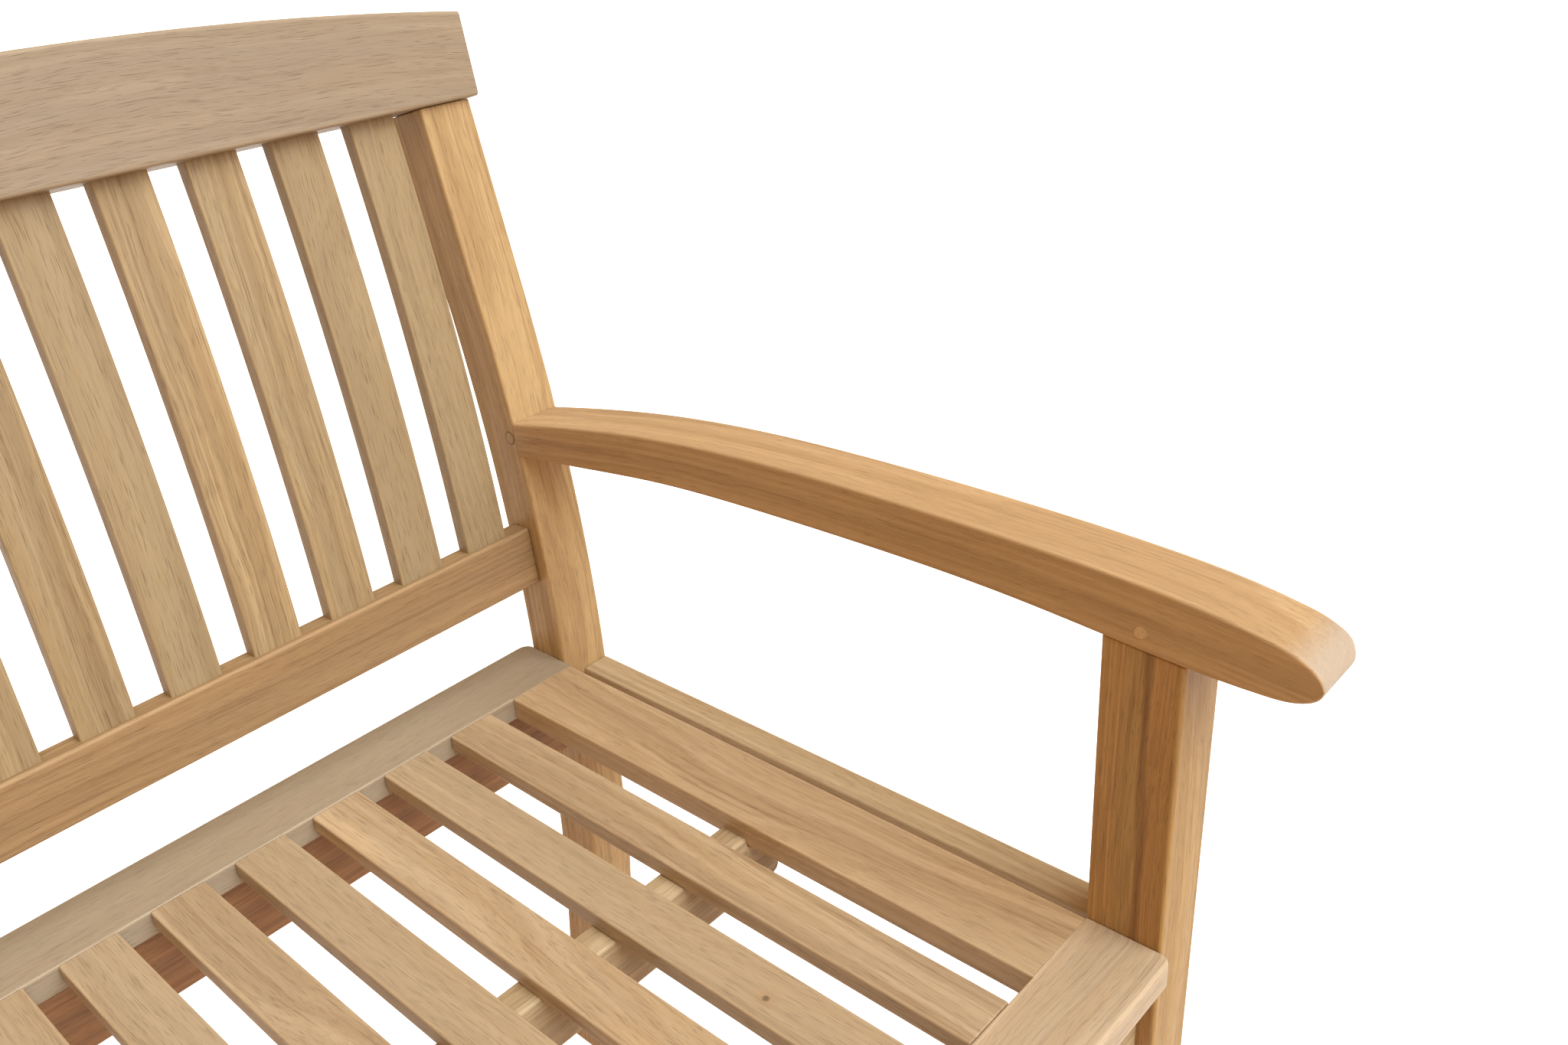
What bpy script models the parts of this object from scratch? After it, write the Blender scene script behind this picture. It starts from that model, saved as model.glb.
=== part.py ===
"""Wooden garden bench: two side frames with shaped arms, a slatted seat panel dropped between the legs
and a slatted, bowed back under a crest rail.

World axes: +X along the bench, -Y to the front, +Z up. The origin is on the floor, in the middle of the
bench's bounding box. Every piece is modelled with Y counted from the front face of the front legs, and
hangs from one empty that carries that datum to its place.
"""

import math

import bmesh
import bpy
from mathutils import Matrix, Vector

# ---------------------------------------------------------------- driving dimensions (metres)
LENGTH = 1.200  # over the outer faces of the legs
SEAT_HEIGHT = 0.430  # floor to the top of the seat
LEG_WIDTH = 0.0396  # legs, along X
FIT = 0.0003  # gap between two pieces that touch
EDGE = 0.0018  # chamfer along the edges of a board
TENON = 0.015  # how far a tenon enters its neighbour
TENON_SHOULDER = 0.008  # from the edge of a board to its tenon
PAST_FACE = 0.005  # how far a cutter or a tenon's root runs past the face it crosses
ARM_EDGE = 0.003
SLAT_EDGE = 0.0012

FRONT_LEG_DEPTH = 0.0438
FRONT_LEG_TOP_FRONT = 0.1753  # heights above the seat, where the leg meets the arm
FRONT_LEG_TOP_REAR = 0.1787

POST_FRONT = 0.4749  # front face of the rear leg at the seat
POST_DEPTH = 0.0382
FOOT_DEPTH = 0.0412
POST_BOW_START = -0.023  # heights above the seat between which the post bends back
POST_BOW_RADIUS = 1.251
POST_LEAN = 0.235  # slope of the straight upper end
FOOT_BOW_START = -0.142
FOOT_BOW_RADIUS = 0.760
FOOT_SPLAY = 0.12  # slope of the straight foot

CREST_OVERHANG = 0.005  # past the legs, at the bottom edge
CREST_END_FLARE = 0.003  # the ends spread by this much up to the top edge
CREST_PROUD = 0.0054  # crest's front face ahead of the posts
CREST_BOTTOM = 0.3993  # front bottom edge above the seat
CREST_HEIGHT = 0.0714  # in the middle, along the lean
CREST_THICKNESS = 0.044
CREST_EDGE = 0.0023  # rounding of its edges
CREST_SHOULDER = 0.3186  # distance from the centre at which the top edge starts to fall
CREST_SHOULDER_RADIUS = 2.373

LOWER_RAIL_FRONT = 0.4905  # at its bottom edge
LOWER_RAIL_BOTTOM = 0.0632
LOWER_RAIL_HEIGHT = 0.0438
LOWER_RAIL_THICKNESS = 0.0188

BACK_SLATS = 20
BACK_SLAT_WIDTH = 0.0335
BACK_SLAT_THICKNESS = 0.012
BACK_FIRST_GAP = 0.0172  # post to first slat
BACK_SETBACK = 0.0045  # slat behind the face of the lower rail
BACK_FOOT_SLOPE = 0.075
BACK_BOW_RADIUS = 1.676
BACK_HOUSING = 0.012  # how far a slat enters the rails

SEAT_FRONT = -0.0063
SEAT_REAR = 0.5208
SEAT_RAIL_THICKNESS = 0.0175
FRONT_RAIL_WIDTH = 0.0491
REAR_RAIL_WIDTH = 0.053
SIDE_BOARD_WIDTH = 0.0551
SEAT_CORNER_RADIUS = 0.008

SEAT_SLATS = 18
SEAT_SLAT_WIDTH = 0.035
SEAT_SLAT_THICKNESS = 0.012
SEAT_FIRST_GAP = 0.0214  # side board to first slat
SEAT_TONGUE = 0.010
SEAT_TONGUE_THICKNESS = 0.006

BATTEN_FRONT = 0.243
BATTEN_THICKNESS = 0.0207
BATTEN_BOTTOM = -0.0548
BATTEN_INSET = 0.0288  # end of the batten from the leg's inner face

APRON_HEIGHT = 0.062
APRON_THICKNESS = 0.020
FRONT_APRON_SETBACK = 0.0099
REAR_APRON_SETBACK = 0.0084
SIDE_APRON_THICKNESS = 0.0225
SIDE_APRON_TOP = -0.0139

ARM_WIDTH = 0.0406
ARM_NOSE = -0.062
ARM_PEG_RADIUS = 0.0035
ARM_PEG_PLACE = (0.0235, 0.187)  # Y, height above the seat
POST_PEG_RADIUS = 0.005
POST_PEG_PLACE = (0.4991, 0.1759)
PEG_LENGTH = 0.028
PEG_BORE_LEAD = 0.002  # the bore's cutter starts this far outside the wood

ARM_TENON_HALF = 0.006  # half the thickness of the arm's two tenons
ARM_FRONT_TENON_Y = (0.010, 0.034)
ARM_FRONT_TENON_RISE = (-0.010, 0.022)  # from the front edge of the leg's top
ARM_REAR_TENON_START = 0.476
ARM_REAR_TENON_HEIGHT = (0.1695, 0.1840)  # above the seat
SIDE_TENON_HALF = 0.004
LONG_TENON_Y = (0.005, 0.015)  # behind the apron's face
LOWER_RAIL_TENON_INSET = 0.004
CREST_TENON_HALF = 0.010
CREST_TENON_ROOT = 0.012
TONGUE_INSET = 0.004  # from the board's edge to its tongue
BATTEN_CORNER_RADIUS = 0.006

# The arm's outline from the side, as Y and height above the seat. The rear end is worked out from
# the post's face.
ARM_TOP = (
    (0.400, 0.2042),
    (0.300, 0.2144),
    (0.165, 0.2170),
    (0.040, 0.2138),
    (-0.030, 0.2053),
    (-0.054, 0.1972),
)
ARM_UNDERSIDE = (
    (-0.053, 0.1776),
    (-0.030, 0.1749),
    (0.020, 0.1770),
    (0.100, 0.1840),
    (0.160, 0.1843),
    (0.260, 0.1832),
    (0.350, 0.1798),
    (0.430, 0.1708),
)
ARM_NOSE_HEIGHT = 0.1871
ARM_REAR_TOP = 0.1880
ARM_REAR_BOTTOM = 0.1652

# ---------------------------------------------------------------- dimensions that follow
INNER = LENGTH / 2 - LEG_WIDTH  # inner face of a leg
LEG_CENTRE = LENGTH / 2 - LEG_WIDTH / 2
LEAN_ANGLE = math.atan(POST_LEAN)
LOWER_RAIL_ANGLE = math.atan(BACK_FOOT_SLOPE)
POST_BOW_END = POST_BOW_START + POST_LEAN * POST_BOW_RADIUS
CREST_HALF = LENGTH / 2 + CREST_OVERHANG
SEAT_HALF = INNER - FIT
APRON_TOP = -SEAT_RAIL_THICKNESS - FIT

# ---------------------------------------------------------------- colours
HONEY = (0.56, 0.34, 0.16)
PALE_HONEY = (0.60, 0.41, 0.23)
RED_HONEY = (0.50, 0.27, 0.12)
DARK_HEART = (0.22, 0.11, 0.05)
PEG_PALE = (0.66, 0.46, 0.25)
WOOD_ROUGHNESS = 0.62


def clear_scene():
    for item in list(bpy.data.objects):
        bpy.data.objects.remove(item, do_unlink=True)


def make_collection(name):
    collection = bpy.data.collections.new(name)
    bpy.context.scene.collection.children.link(collection)
    return collection


def paint(piece, colour):
    """Give the piece a wood material of its own."""
    wood = bpy.data.materials.new(piece.name)
    wood.use_nodes = True
    shader = wood.node_tree.nodes["Principled BSDF"]
    shader.inputs["Base Color"].default_value = (*colour, 1.0)
    shader.inputs["Roughness"].default_value = WOOD_ROUGHNESS
    shader.inputs["Metallic"].default_value = 0.0
    wood.diffuse_color = (*colour, 1.0)
    piece.data.materials.clear()
    piece.data.materials.append(wood)


# ---------------------------------------------------------------- building blocks
def cuboid(name, low, high, collection):
    """A box between two corners, with its origin in its middle."""
    low, high = Vector(low), Vector(high)
    mesh = bpy.data.meshes.new(name)
    shape = bmesh.new()
    bmesh.ops.create_cube(shape, size=1.0, matrix=Matrix.Diagonal((*(high - low), 1.0)))
    shape.to_mesh(mesh)
    shape.free()
    piece = bpy.data.objects.new(name, mesh)
    piece.location = (low + high) / 2
    collection.objects.link(piece)
    return piece


def cylinder_across(name, radius, x_low, x_high, place, collection):
    """A round bar along X through the given Y and height above the seat."""
    mesh = bpy.data.meshes.new(name)
    shape = bmesh.new()
    bmesh.ops.create_cone(
        shape,
        cap_ends=True,
        segments=20,
        radius1=radius,
        radius2=radius,
        depth=x_high - x_low,
        matrix=Matrix.Rotation(math.pi / 2, 4, "Y"),
    )
    shape.to_mesh(mesh)
    shape.free()
    piece = bpy.data.objects.new(name, mesh)
    piece.location = ((x_low + x_high) / 2, place[0], SEAT_HEIGHT + place[1])
    collection.objects.link(piece)
    return piece


def solid_from_curve(name, curve, plane):
    """Turn a filled, extruded outline into one closed mesh that stands in the given plane."""
    drawn = bpy.data.objects.new(name, curve)
    bpy.context.scene.collection.objects.link(drawn)
    graph = bpy.context.evaluated_depsgraph_get()
    mesh = bpy.data.meshes.new_from_object(drawn.evaluated_get(graph))
    bpy.data.objects.remove(drawn, do_unlink=True)
    shape = bmesh.new()
    shape.from_mesh(mesh)
    bmesh.ops.remove_doubles(shape, verts=shape.verts, dist=0.00001)
    bmesh.ops.dissolve_limit(shape, angle_limit=0.0005, verts=shape.verts, edges=shape.edges)
    bmesh.ops.recalc_face_normals(shape, faces=shape.faces)
    shape.to_mesh(mesh)
    shape.free()
    mesh.transform(plane)
    mesh.name = name
    return mesh


SIDE_VIEW = Matrix(((0, 0, 1, 0), (1, 0, 0, 0), (0, 1, 0, 0), (0, 0, 0, 1)))  # outline in Y, Z
FRONT_VIEW = Matrix(((1, 0, 0, 0), (0, 0, -1, 0), (0, 1, 0, 0), (0, 0, 0, 1)))  # outline in X, Z
TOP_VIEW = Matrix.Identity(4)  # outline in X, Y


def outline_curve(name, thickness):
    curve = bpy.data.curves.new(name, "CURVE")
    curve.dimensions = "2D"
    curve.fill_mode = "BOTH"
    curve.extrude = thickness / 2
    return curve


def straight_outline(name, points, thickness, plane):
    """A solid from an outline of straight runs."""
    curve = outline_curve(name, thickness)
    spline = curve.splines.new("POLY")
    spline.points.add(len(points) - 1)
    for point, (across, up) in zip(spline.points, points):
        point.co = (across, up, 0.0, 1.0)
    spline.use_cyclic_u = True
    return solid_from_curve(name, curve, plane)


def smooth_outline(name, points, corners, thickness, plane, steps):
    """A solid from an outline that runs smoothly through its points, except at the corners."""
    curve = outline_curve(name, thickness)
    spline = curve.splines.new("BEZIER")
    spline.bezier_points.add(len(points) - 1)
    for index, (across, up) in enumerate(points):
        point = spline.bezier_points[index]
        point.co = (across, up, 0.0)
        kind = "VECTOR" if index in corners else "AUTO"
        point.handle_left_type = kind
        point.handle_right_type = kind
    spline.use_cyclic_u = True
    spline.resolution_u = steps
    return solid_from_curve(name, curve, plane)


def chamfer(piece, width=EDGE, segments=1):
    bevel = piece.modifiers.new("eased_edges", "BEVEL")
    bevel.width = width
    bevel.segments = segments
    bevel.limit_method = "ANGLE"
    bevel.angle_limit = math.radians(40)


def combine(piece, helper, operation):
    """Join the helper to the piece or cut it out of the piece."""
    boolean = piece.modifiers.new(operation.lower(), "BOOLEAN")
    boolean.operation = operation
    boolean.object = helper
    boolean.solver = "EXACT"
    helper.hide_render = True
    helper.display_type = "WIRE"


def freeze(piece, helpers):
    """Make the piece's evaluated shape its own mesh, to be shared by its copies."""
    bpy.context.view_layer.update()
    graph = bpy.context.evaluated_depsgraph_get()
    mesh = bpy.data.meshes.new_from_object(piece.evaluated_get(graph))
    bpy.data.objects.remove(piece, do_unlink=True)
    for helper in helpers:
        bpy.data.objects.remove(helper, do_unlink=True)
    return mesh


# ---------------------------------------------------------------- the bench's own curves
def post_face(height):
    """Y of the rear leg's front face at a height above the seat."""
    if height > POST_BOW_END:
        rise = POST_LEAN * (POST_BOW_END - POST_BOW_START) / 2
        return POST_FRONT + rise + POST_LEAN * (height - POST_BOW_END)
    if height > POST_BOW_START:
        return POST_FRONT + (height - POST_BOW_START) ** 2 / (2 * POST_BOW_RADIUS)
    drop = max(0.0, FOOT_BOW_START - height)
    bend = min(drop, FOOT_SPLAY * FOOT_BOW_RADIUS)
    return POST_FRONT + bend**2 / (2 * FOOT_BOW_RADIUS) + FOOT_SPLAY * (drop - bend)


def post_depth(height):
    """The rear leg grows a little deeper from the seat down to the floor."""
    below = min(1.0, max(0.0, -height / SEAT_HEIGHT))
    return POST_DEPTH + (FOOT_DEPTH - POST_DEPTH) * below


def slat_face(height):
    """Y of a back slat's front face at a height above the seat."""
    foot_height, foot_y = slat_foot()
    rise = height - foot_height
    return foot_y + BACK_FOOT_SLOPE * rise + rise**2 / (2 * BACK_BOW_RADIUS)


def slat_foot():
    """Height and Y at which a slat's face leaves the top of the lower rail."""
    sine, cosine = math.sin(LOWER_RAIL_ANGLE), math.cos(LOWER_RAIL_ANGLE)
    height = LOWER_RAIL_BOTTOM + LOWER_RAIL_HEIGHT * cosine - BACK_SETBACK * sine
    y = LOWER_RAIL_FRONT + LOWER_RAIL_HEIGHT * sine + BACK_SETBACK * cosine
    return height, y


def crest_corner():
    """Y and height of the crest rail's front bottom edge."""
    return post_face(CREST_BOTTOM) - CREST_PROUD / math.cos(LEAN_ANGLE), CREST_BOTTOM


def seat_slat_places():
    """Centres of the seat slats along X."""
    span = 2 * (SEAT_HALF - SIDE_BOARD_WIDTH - SEAT_FIRST_GAP) - SEAT_SLAT_WIDTH
    return [span * (index / (SEAT_SLATS - 1) - 0.5) for index in range(SEAT_SLATS)]


def back_slat_places():
    """Centres of the back slats along X."""
    span = 2 * (INNER - BACK_FIRST_GAP) - BACK_SLAT_WIDTH
    return [span * (index / (BACK_SLATS - 1) - 0.5) for index in range(BACK_SLATS)]


def steps_between(low, high, count):
    return [low + (high - low) * index / count for index in range(count + 1)]


class Bench:
    """Holds the two collections and the empty that carries the front datum."""

    def __init__(self):
        self.pieces = make_collection("garden_bench")
        self.helpers = make_collection("joinery_cutters")
        crest_y, _ = crest_corner()
        rear_edge = CREST_HEIGHT - CREST_EDGE
        reach = rear_edge * math.sin(LEAN_ANGLE) + CREST_THICKNESS * math.cos(LEAN_ANGLE)
        self.datum = bpy.data.objects.new("front_datum", None)
        self.datum.location.y = -(ARM_NOSE + crest_y + reach) / 2
        self.pieces.objects.link(self.datum)

    def piece(self, name, mesh, location=(0.0, 0.0, 0.0)):
        item = bpy.data.objects.new(name, mesh)
        item.location = location
        self.pieces.objects.link(item)
        item.parent = self.datum
        return item

    def board(self, name, low, high):
        item = cuboid(name, low, high, self.pieces)
        item.parent = self.datum
        chamfer(item)
        return item

    def helper_box(self, name, low, high):
        item = cuboid(name, low, high, self.helpers)
        item.parent = self.datum
        return item

    def tenon(self, piece, neighbour, low, high, label):
        """A tenon joined to one piece, and its mortise, a little larger, cut in the neighbour."""
        low, high = Vector(low), Vector(high)
        room = Vector((FIT, FIT, FIT))
        tongue = self.helper_box(label + "_tenon", low, high)
        pocket = self.helper_box(label + "_mortise", low - room, high + room)
        combine(piece, tongue, "UNION")
        combine(neighbour, pocket, "DIFFERENCE")

    # ------------------------------------------------------------ side frames
    def front_leg(self, side, end):
        points = (
            (0.0, 0.0),
            (FRONT_LEG_DEPTH, 0.0),
            (FRONT_LEG_DEPTH, SEAT_HEIGHT + FRONT_LEG_TOP_REAR),
            (0.0, SEAT_HEIGHT + FRONT_LEG_TOP_FRONT),
        )
        mesh = straight_outline("front_leg_" + end, points, LEG_WIDTH, SIDE_VIEW)
        leg = self.piece("front_leg_" + end, mesh, (side * LEG_CENTRE, 0.0, 0.0))
        chamfer(leg)
        paint(leg, HONEY)
        return leg

    def rear_leg(self, side, end):
        top = CREST_BOTTOM - CREST_PROUD * math.sin(LEAN_ANGLE) - FIT / math.cos(LEAN_ANGLE)
        rear_top = top - POST_DEPTH * math.sin(LEAN_ANGLE)
        up = steps_between(-SEAT_HEIGHT, top, 18)
        down = steps_between(rear_top, -SEAT_HEIGHT, 18)
        front = [(post_face(height), SEAT_HEIGHT + height) for height in up]
        rear = []
        for height in down:
            slope = (post_face(height + FIT) - post_face(height - FIT)) / (2 * FIT)
            depth = post_depth(height) * math.hypot(1.0, slope)
            rear.append((post_face(height) + depth, SEAT_HEIGHT + height))
        mesh = straight_outline("rear_leg_" + end, front + rear, LEG_WIDTH, SIDE_VIEW)
        leg = self.piece("rear_leg_" + end, mesh, (side * LEG_CENTRE, 0.0, 0.0))
        chamfer(leg)
        paint(leg, HONEY)
        return leg

    def arm(self, side, end):
        rear_top = (post_face(ARM_REAR_TOP) - FIT, SEAT_HEIGHT + ARM_REAR_TOP)
        rear_bottom = (post_face(ARM_REAR_BOTTOM) - FIT, SEAT_HEIGHT + ARM_REAR_BOTTOM)
        top = [(y, SEAT_HEIGHT + height) for y, height in ARM_TOP]
        nose = (ARM_NOSE, SEAT_HEIGHT + ARM_NOSE_HEIGHT)
        underside = [(y, SEAT_HEIGHT + height) for y, height in ARM_UNDERSIDE]
        points = [rear_top, *top, nose, *underside, rear_bottom]
        corners = (0, len(points) - 1)
        mesh = smooth_outline("arm_" + end, points, corners, ARM_WIDTH, SIDE_VIEW, 4)
        centre = side * (LENGTH / 2 - ARM_WIDTH / 2)
        arm = self.piece("arm_" + end, mesh, (centre, 0.0, 0.0))
        chamfer(arm, ARM_EDGE, 2)
        paint(arm, HONEY)
        return arm

    def join_side_frame(self, side, end, front_leg, rear_leg, arm):
        """Tenons of the arm, and the pegs that lock them."""
        centre = side * LEG_CENTRE
        leg_top = SEAT_HEIGHT + FRONT_LEG_TOP_FRONT
        self.tenon(
            front_leg,
            arm,
            (centre - ARM_TENON_HALF, ARM_FRONT_TENON_Y[0], leg_top + ARM_FRONT_TENON_RISE[0]),
            (centre + ARM_TENON_HALF, ARM_FRONT_TENON_Y[1], leg_top + ARM_FRONT_TENON_RISE[1]),
            "arm_front_" + end,
        )
        tenon_end = POST_PEG_PLACE[0] + TENON_SHOULDER
        self.tenon(
            arm,
            rear_leg,
            (centre - ARM_TENON_HALF, ARM_REAR_TENON_START, SEAT_HEIGHT + ARM_REAR_TENON_HEIGHT[0]),
            (centre + ARM_TENON_HALF, tenon_end, SEAT_HEIGHT + ARM_REAR_TENON_HEIGHT[1]),
            "arm_rear_" + end,
        )
        arm_face = side * (LENGTH / 2 - ARM_WIDTH)
        post_face_x = side * INNER
        self.peg("arm_peg_" + end, ARM_PEG_RADIUS, arm_face, side, ARM_PEG_PLACE)
        self.peg("post_peg_" + end, POST_PEG_RADIUS, post_face_x, side, POST_PEG_PLACE)
        for wall, radius, start, place in (
            (arm, ARM_PEG_RADIUS, arm_face, ARM_PEG_PLACE),
            (front_leg, ARM_PEG_RADIUS, arm_face, ARM_PEG_PLACE),
            (rear_leg, POST_PEG_RADIUS, post_face_x, POST_PEG_PLACE),
            (arm, POST_PEG_RADIUS, post_face_x, POST_PEG_PLACE),
        ):
            ends = sorted((start - side * PEG_BORE_LEAD, start + side * (PEG_LENGTH + FIT)))
            label = wall.name + "_bore_" + str(len(wall.modifiers))
            bore = cylinder_across(label, radius + FIT, ends[0], ends[1], place, self.helpers)
            bore.parent = self.datum
            combine(wall, bore, "DIFFERENCE")

    def peg(self, name, radius, start, side, place):
        ends = sorted((start, start + side * PEG_LENGTH))
        peg = cylinder_across(name, radius, ends[0], ends[1], place, self.pieces)
        peg.parent = self.datum
        peg.data.shade_smooth()
        peg.data.set_sharp_from_angle(angle=math.radians(40))
        paint(peg, PEG_PALE)

    # ------------------------------------------------------------ aprons under the seat
    def side_apron(self, side, end, front_leg, rear_leg):
        outer, inner = side * LENGTH / 2, side * (LENGTH / 2 - SIDE_APRON_THICKNESS)
        top = SEAT_HEIGHT + SIDE_APRON_TOP
        low_x, high_x = min(outer, inner), max(outer, inner)
        apron = self.board(
            "side_apron_" + end,
            (low_x, FRONT_LEG_DEPTH + FIT, top - APRON_HEIGHT),
            (high_x, POST_FRONT - FIT, top),
        )
        paint(apron, RED_HONEY)
        middle = (outer + inner) / 2
        tenon_low, tenon_high = top - APRON_HEIGHT + TENON_SHOULDER, top - TENON_SHOULDER
        self.tenon(
            apron,
            front_leg,
            (middle - SIDE_TENON_HALF, FRONT_LEG_DEPTH - TENON, tenon_low),
            (middle + SIDE_TENON_HALF, FRONT_LEG_DEPTH + PAST_FACE, tenon_high),
            "side_apron_front_" + end,
        )
        self.tenon(
            apron,
            rear_leg,
            (middle - SIDE_TENON_HALF, POST_FRONT - PAST_FACE, tenon_low),
            (middle + SIDE_TENON_HALF, POST_FRONT + TENON, tenon_high),
            "side_apron_rear_" + end,
        )

    def long_apron(self, name, face, legs, colour):
        """Front or rear apron, tenoned into the inner faces of its two legs."""
        top = SEAT_HEIGHT + APRON_TOP
        apron = self.board(
            name,
            (-INNER + FIT, face, top - APRON_HEIGHT),
            (INNER - FIT, face + APRON_THICKNESS, top),
        )
        paint(apron, colour)
        for side, leg in zip((1, -1), legs):
            ends = sorted((side * (INNER - PAST_FACE), side * (INNER + TENON)))
            self.tenon(
                apron,
                leg,
                (ends[0], face + LONG_TENON_Y[0], top - APRON_HEIGHT + TENON_SHOULDER),
                (ends[1], face + LONG_TENON_Y[1], top - TENON_SHOULDER),
                name + "_" + leg.name,
            )

    # ------------------------------------------------------------ back
    def lower_back_rail(self, rear_legs):
        """Rail under the back slats, leaning as the slats do where they leave it."""
        inset = LOWER_RAIL_TENON_INSET
        half = INNER - FIT
        mesh_low = (-half, 0.0, 0.0)
        mesh_high = (half, LOWER_RAIL_THICKNESS, LOWER_RAIL_HEIGHT)
        rail = cuboid("lower_back_rail", mesh_low, mesh_high, self.pieces)
        corner = Vector((0.0, LOWER_RAIL_FRONT, SEAT_HEIGHT + LOWER_RAIL_BOTTOM))
        frame = Matrix.Translation(corner) @ Matrix.Rotation(-LOWER_RAIL_ANGLE, 4, "X")
        self.lean(rail, frame)
        chamfer(rail)
        paint(rail, HONEY)
        for side, leg in zip((1, -1), rear_legs):
            ends = sorted((side * (INNER - PAST_FACE), side * (INNER + TENON)))
            low = Vector((ends[0], inset, TENON_SHOULDER))
            high = Vector((ends[1], LOWER_RAIL_THICKNESS - inset, LOWER_RAIL_HEIGHT - TENON_SHOULDER))
            room = Vector((FIT, FIT, FIT))
            tongue = cuboid("lower_rail_tenon_" + leg.name, low, high, self.helpers)
            pocket = cuboid("lower_rail_mortise_" + leg.name, low - room, high + room, self.helpers)
            self.lean(tongue, frame)
            self.lean(pocket, frame)
            combine(rail, tongue, "UNION")
            combine(leg, pocket, "DIFFERENCE")
        low = (0.0, BACK_SETBACK - FIT, LOWER_RAIL_HEIGHT - BACK_HOUSING - FIT)
        high = (0.0, BACK_SETBACK + BACK_SLAT_THICKNESS + FIT, LOWER_RAIL_HEIGHT + PAST_FACE)
        self.cut_slat_housings(rail, low, high, frame)

    def lean(self, piece, frame):
        """Carry a piece made at the origin into a leaning frame."""
        piece.parent = self.datum
        piece.matrix_local = frame @ Matrix.Translation(piece.location)

    def cut_slat_housings(self, rail, low, high, frame):
        """One cutter with a block for each back slat."""
        shape = bmesh.new()
        size = Vector((BACK_SLAT_WIDTH + 2 * FIT, high[1] - low[1], high[2] - low[2]))
        for place in back_slat_places():
            centre = Vector((place, (low[1] + high[1]) / 2, (low[2] + high[2]) / 2))
            block = Matrix.Translation(centre) @ Matrix.Diagonal((*size, 1.0))
            bmesh.ops.create_cube(shape, size=1.0, matrix=block)
        mesh = bpy.data.meshes.new(rail.name + "_housings")
        shape.to_mesh(mesh)
        shape.free()
        cutter = bpy.data.objects.new(mesh.name, mesh)
        self.helpers.objects.link(cutter)
        self.lean(cutter, frame)
        combine(rail, cutter, "DIFFERENCE")

    def crest_rail(self, rear_legs):
        """Crest rail: level in the middle, with a shoulder falling to each end."""
        shoulder = []
        for step in steps_between(CREST_SHOULDER, CREST_HALF + CREST_END_FLARE, 7):
            drop = (step - CREST_SHOULDER) ** 2 / (2 * CREST_SHOULDER_RADIUS)
            shoulder.append((step, CREST_HEIGHT - drop))
        mirrored = [(-across, up) for across, up in reversed(shoulder)]
        points = [(-CREST_HALF, 0.0), (CREST_HALF, 0.0), *reversed(shoulder), *reversed(mirrored)]
        mesh = straight_outline("crest_rail", points, CREST_THICKNESS, FRONT_VIEW)
        crest = bpy.data.objects.new("crest_rail", mesh)
        crest.location.y = CREST_THICKNESS / 2
        self.pieces.objects.link(crest)
        corner_y, corner_height = crest_corner()
        corner = Vector((0.0, corner_y, SEAT_HEIGHT + corner_height))
        frame = Matrix.Translation(corner) @ Matrix.Rotation(-LEAN_ANGLE, 4, "X")
        self.lean(crest, frame)
        chamfer(crest, CREST_EDGE, 2)
        paint(crest, HONEY)
        for side, leg in zip((1, -1), rear_legs):
            centre = side * LEG_CENTRE
            front = CREST_PROUD + TENON_SHOULDER
            rear = CREST_PROUD + POST_DEPTH - TENON_SHOULDER
            low = Vector((centre - CREST_TENON_HALF, front, -CREST_TENON_ROOT))
            high = Vector((centre + CREST_TENON_HALF, rear, TENON))
            room = Vector((FIT, FIT, FIT))
            tongue = cuboid("crest_tenon_" + leg.name, low, high, self.helpers)
            pocket = cuboid("crest_mortise_" + leg.name, low - room, high + room, self.helpers)
            self.lean(tongue, frame)
            self.lean(pocket, frame)
            combine(leg, tongue, "UNION")
            combine(crest, pocket, "DIFFERENCE")
        meet = slat_face(CREST_BOTTOM) - corner_y
        face = meet * math.cos(LEAN_ANGLE)
        low = (0.0, face - 2 * FIT, -PAST_FACE)
        high = (0.0, face + BACK_SLAT_THICKNESS + 2 * FIT, BACK_HOUSING + FIT)
        self.cut_slat_housings(crest, low, high, frame)

    def back_slats(self):
        """Bowed slats, each housed at both ends."""
        foot_height, _ = slat_foot()
        low = foot_height - BACK_HOUSING * math.cos(LOWER_RAIL_ANGLE)
        meet = slat_face(CREST_BOTTOM) - crest_corner()[0]
        high = CREST_BOTTOM - meet * math.sin(LEAN_ANGLE) * math.cos(LEAN_ANGLE)
        high += (BACK_HOUSING - FIT) * math.cos(LEAN_ANGLE)
        front, rear = [], []
        for height in steps_between(low, high, 7):
            slope = (slat_face(height + FIT) - slat_face(height - FIT)) / (2 * FIT)
            length = math.hypot(1.0, slope)
            front.append((slat_face(height), SEAT_HEIGHT + height))
            behind = slat_face(height) + BACK_SLAT_THICKNESS / length
            below = SEAT_HEIGHT + height - BACK_SLAT_THICKNESS * slope / length
            rear.append((behind, below))
        points = [*front, *reversed(rear)]
        mesh = straight_outline("back_slat", points, BACK_SLAT_WIDTH, SIDE_VIEW)
        pattern = self.piece("back_slat", mesh)
        chamfer(pattern, SLAT_EDGE)
        shared = freeze(pattern, ())
        for number, place in enumerate(back_slat_places(), start=1):
            own = shared.copy()
            slat = self.piece(f"back_slat_{number:02d}", own, (place, 0.0, 0.0))
            paint(slat, HONEY if number % 3 else RED_HONEY)

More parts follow.
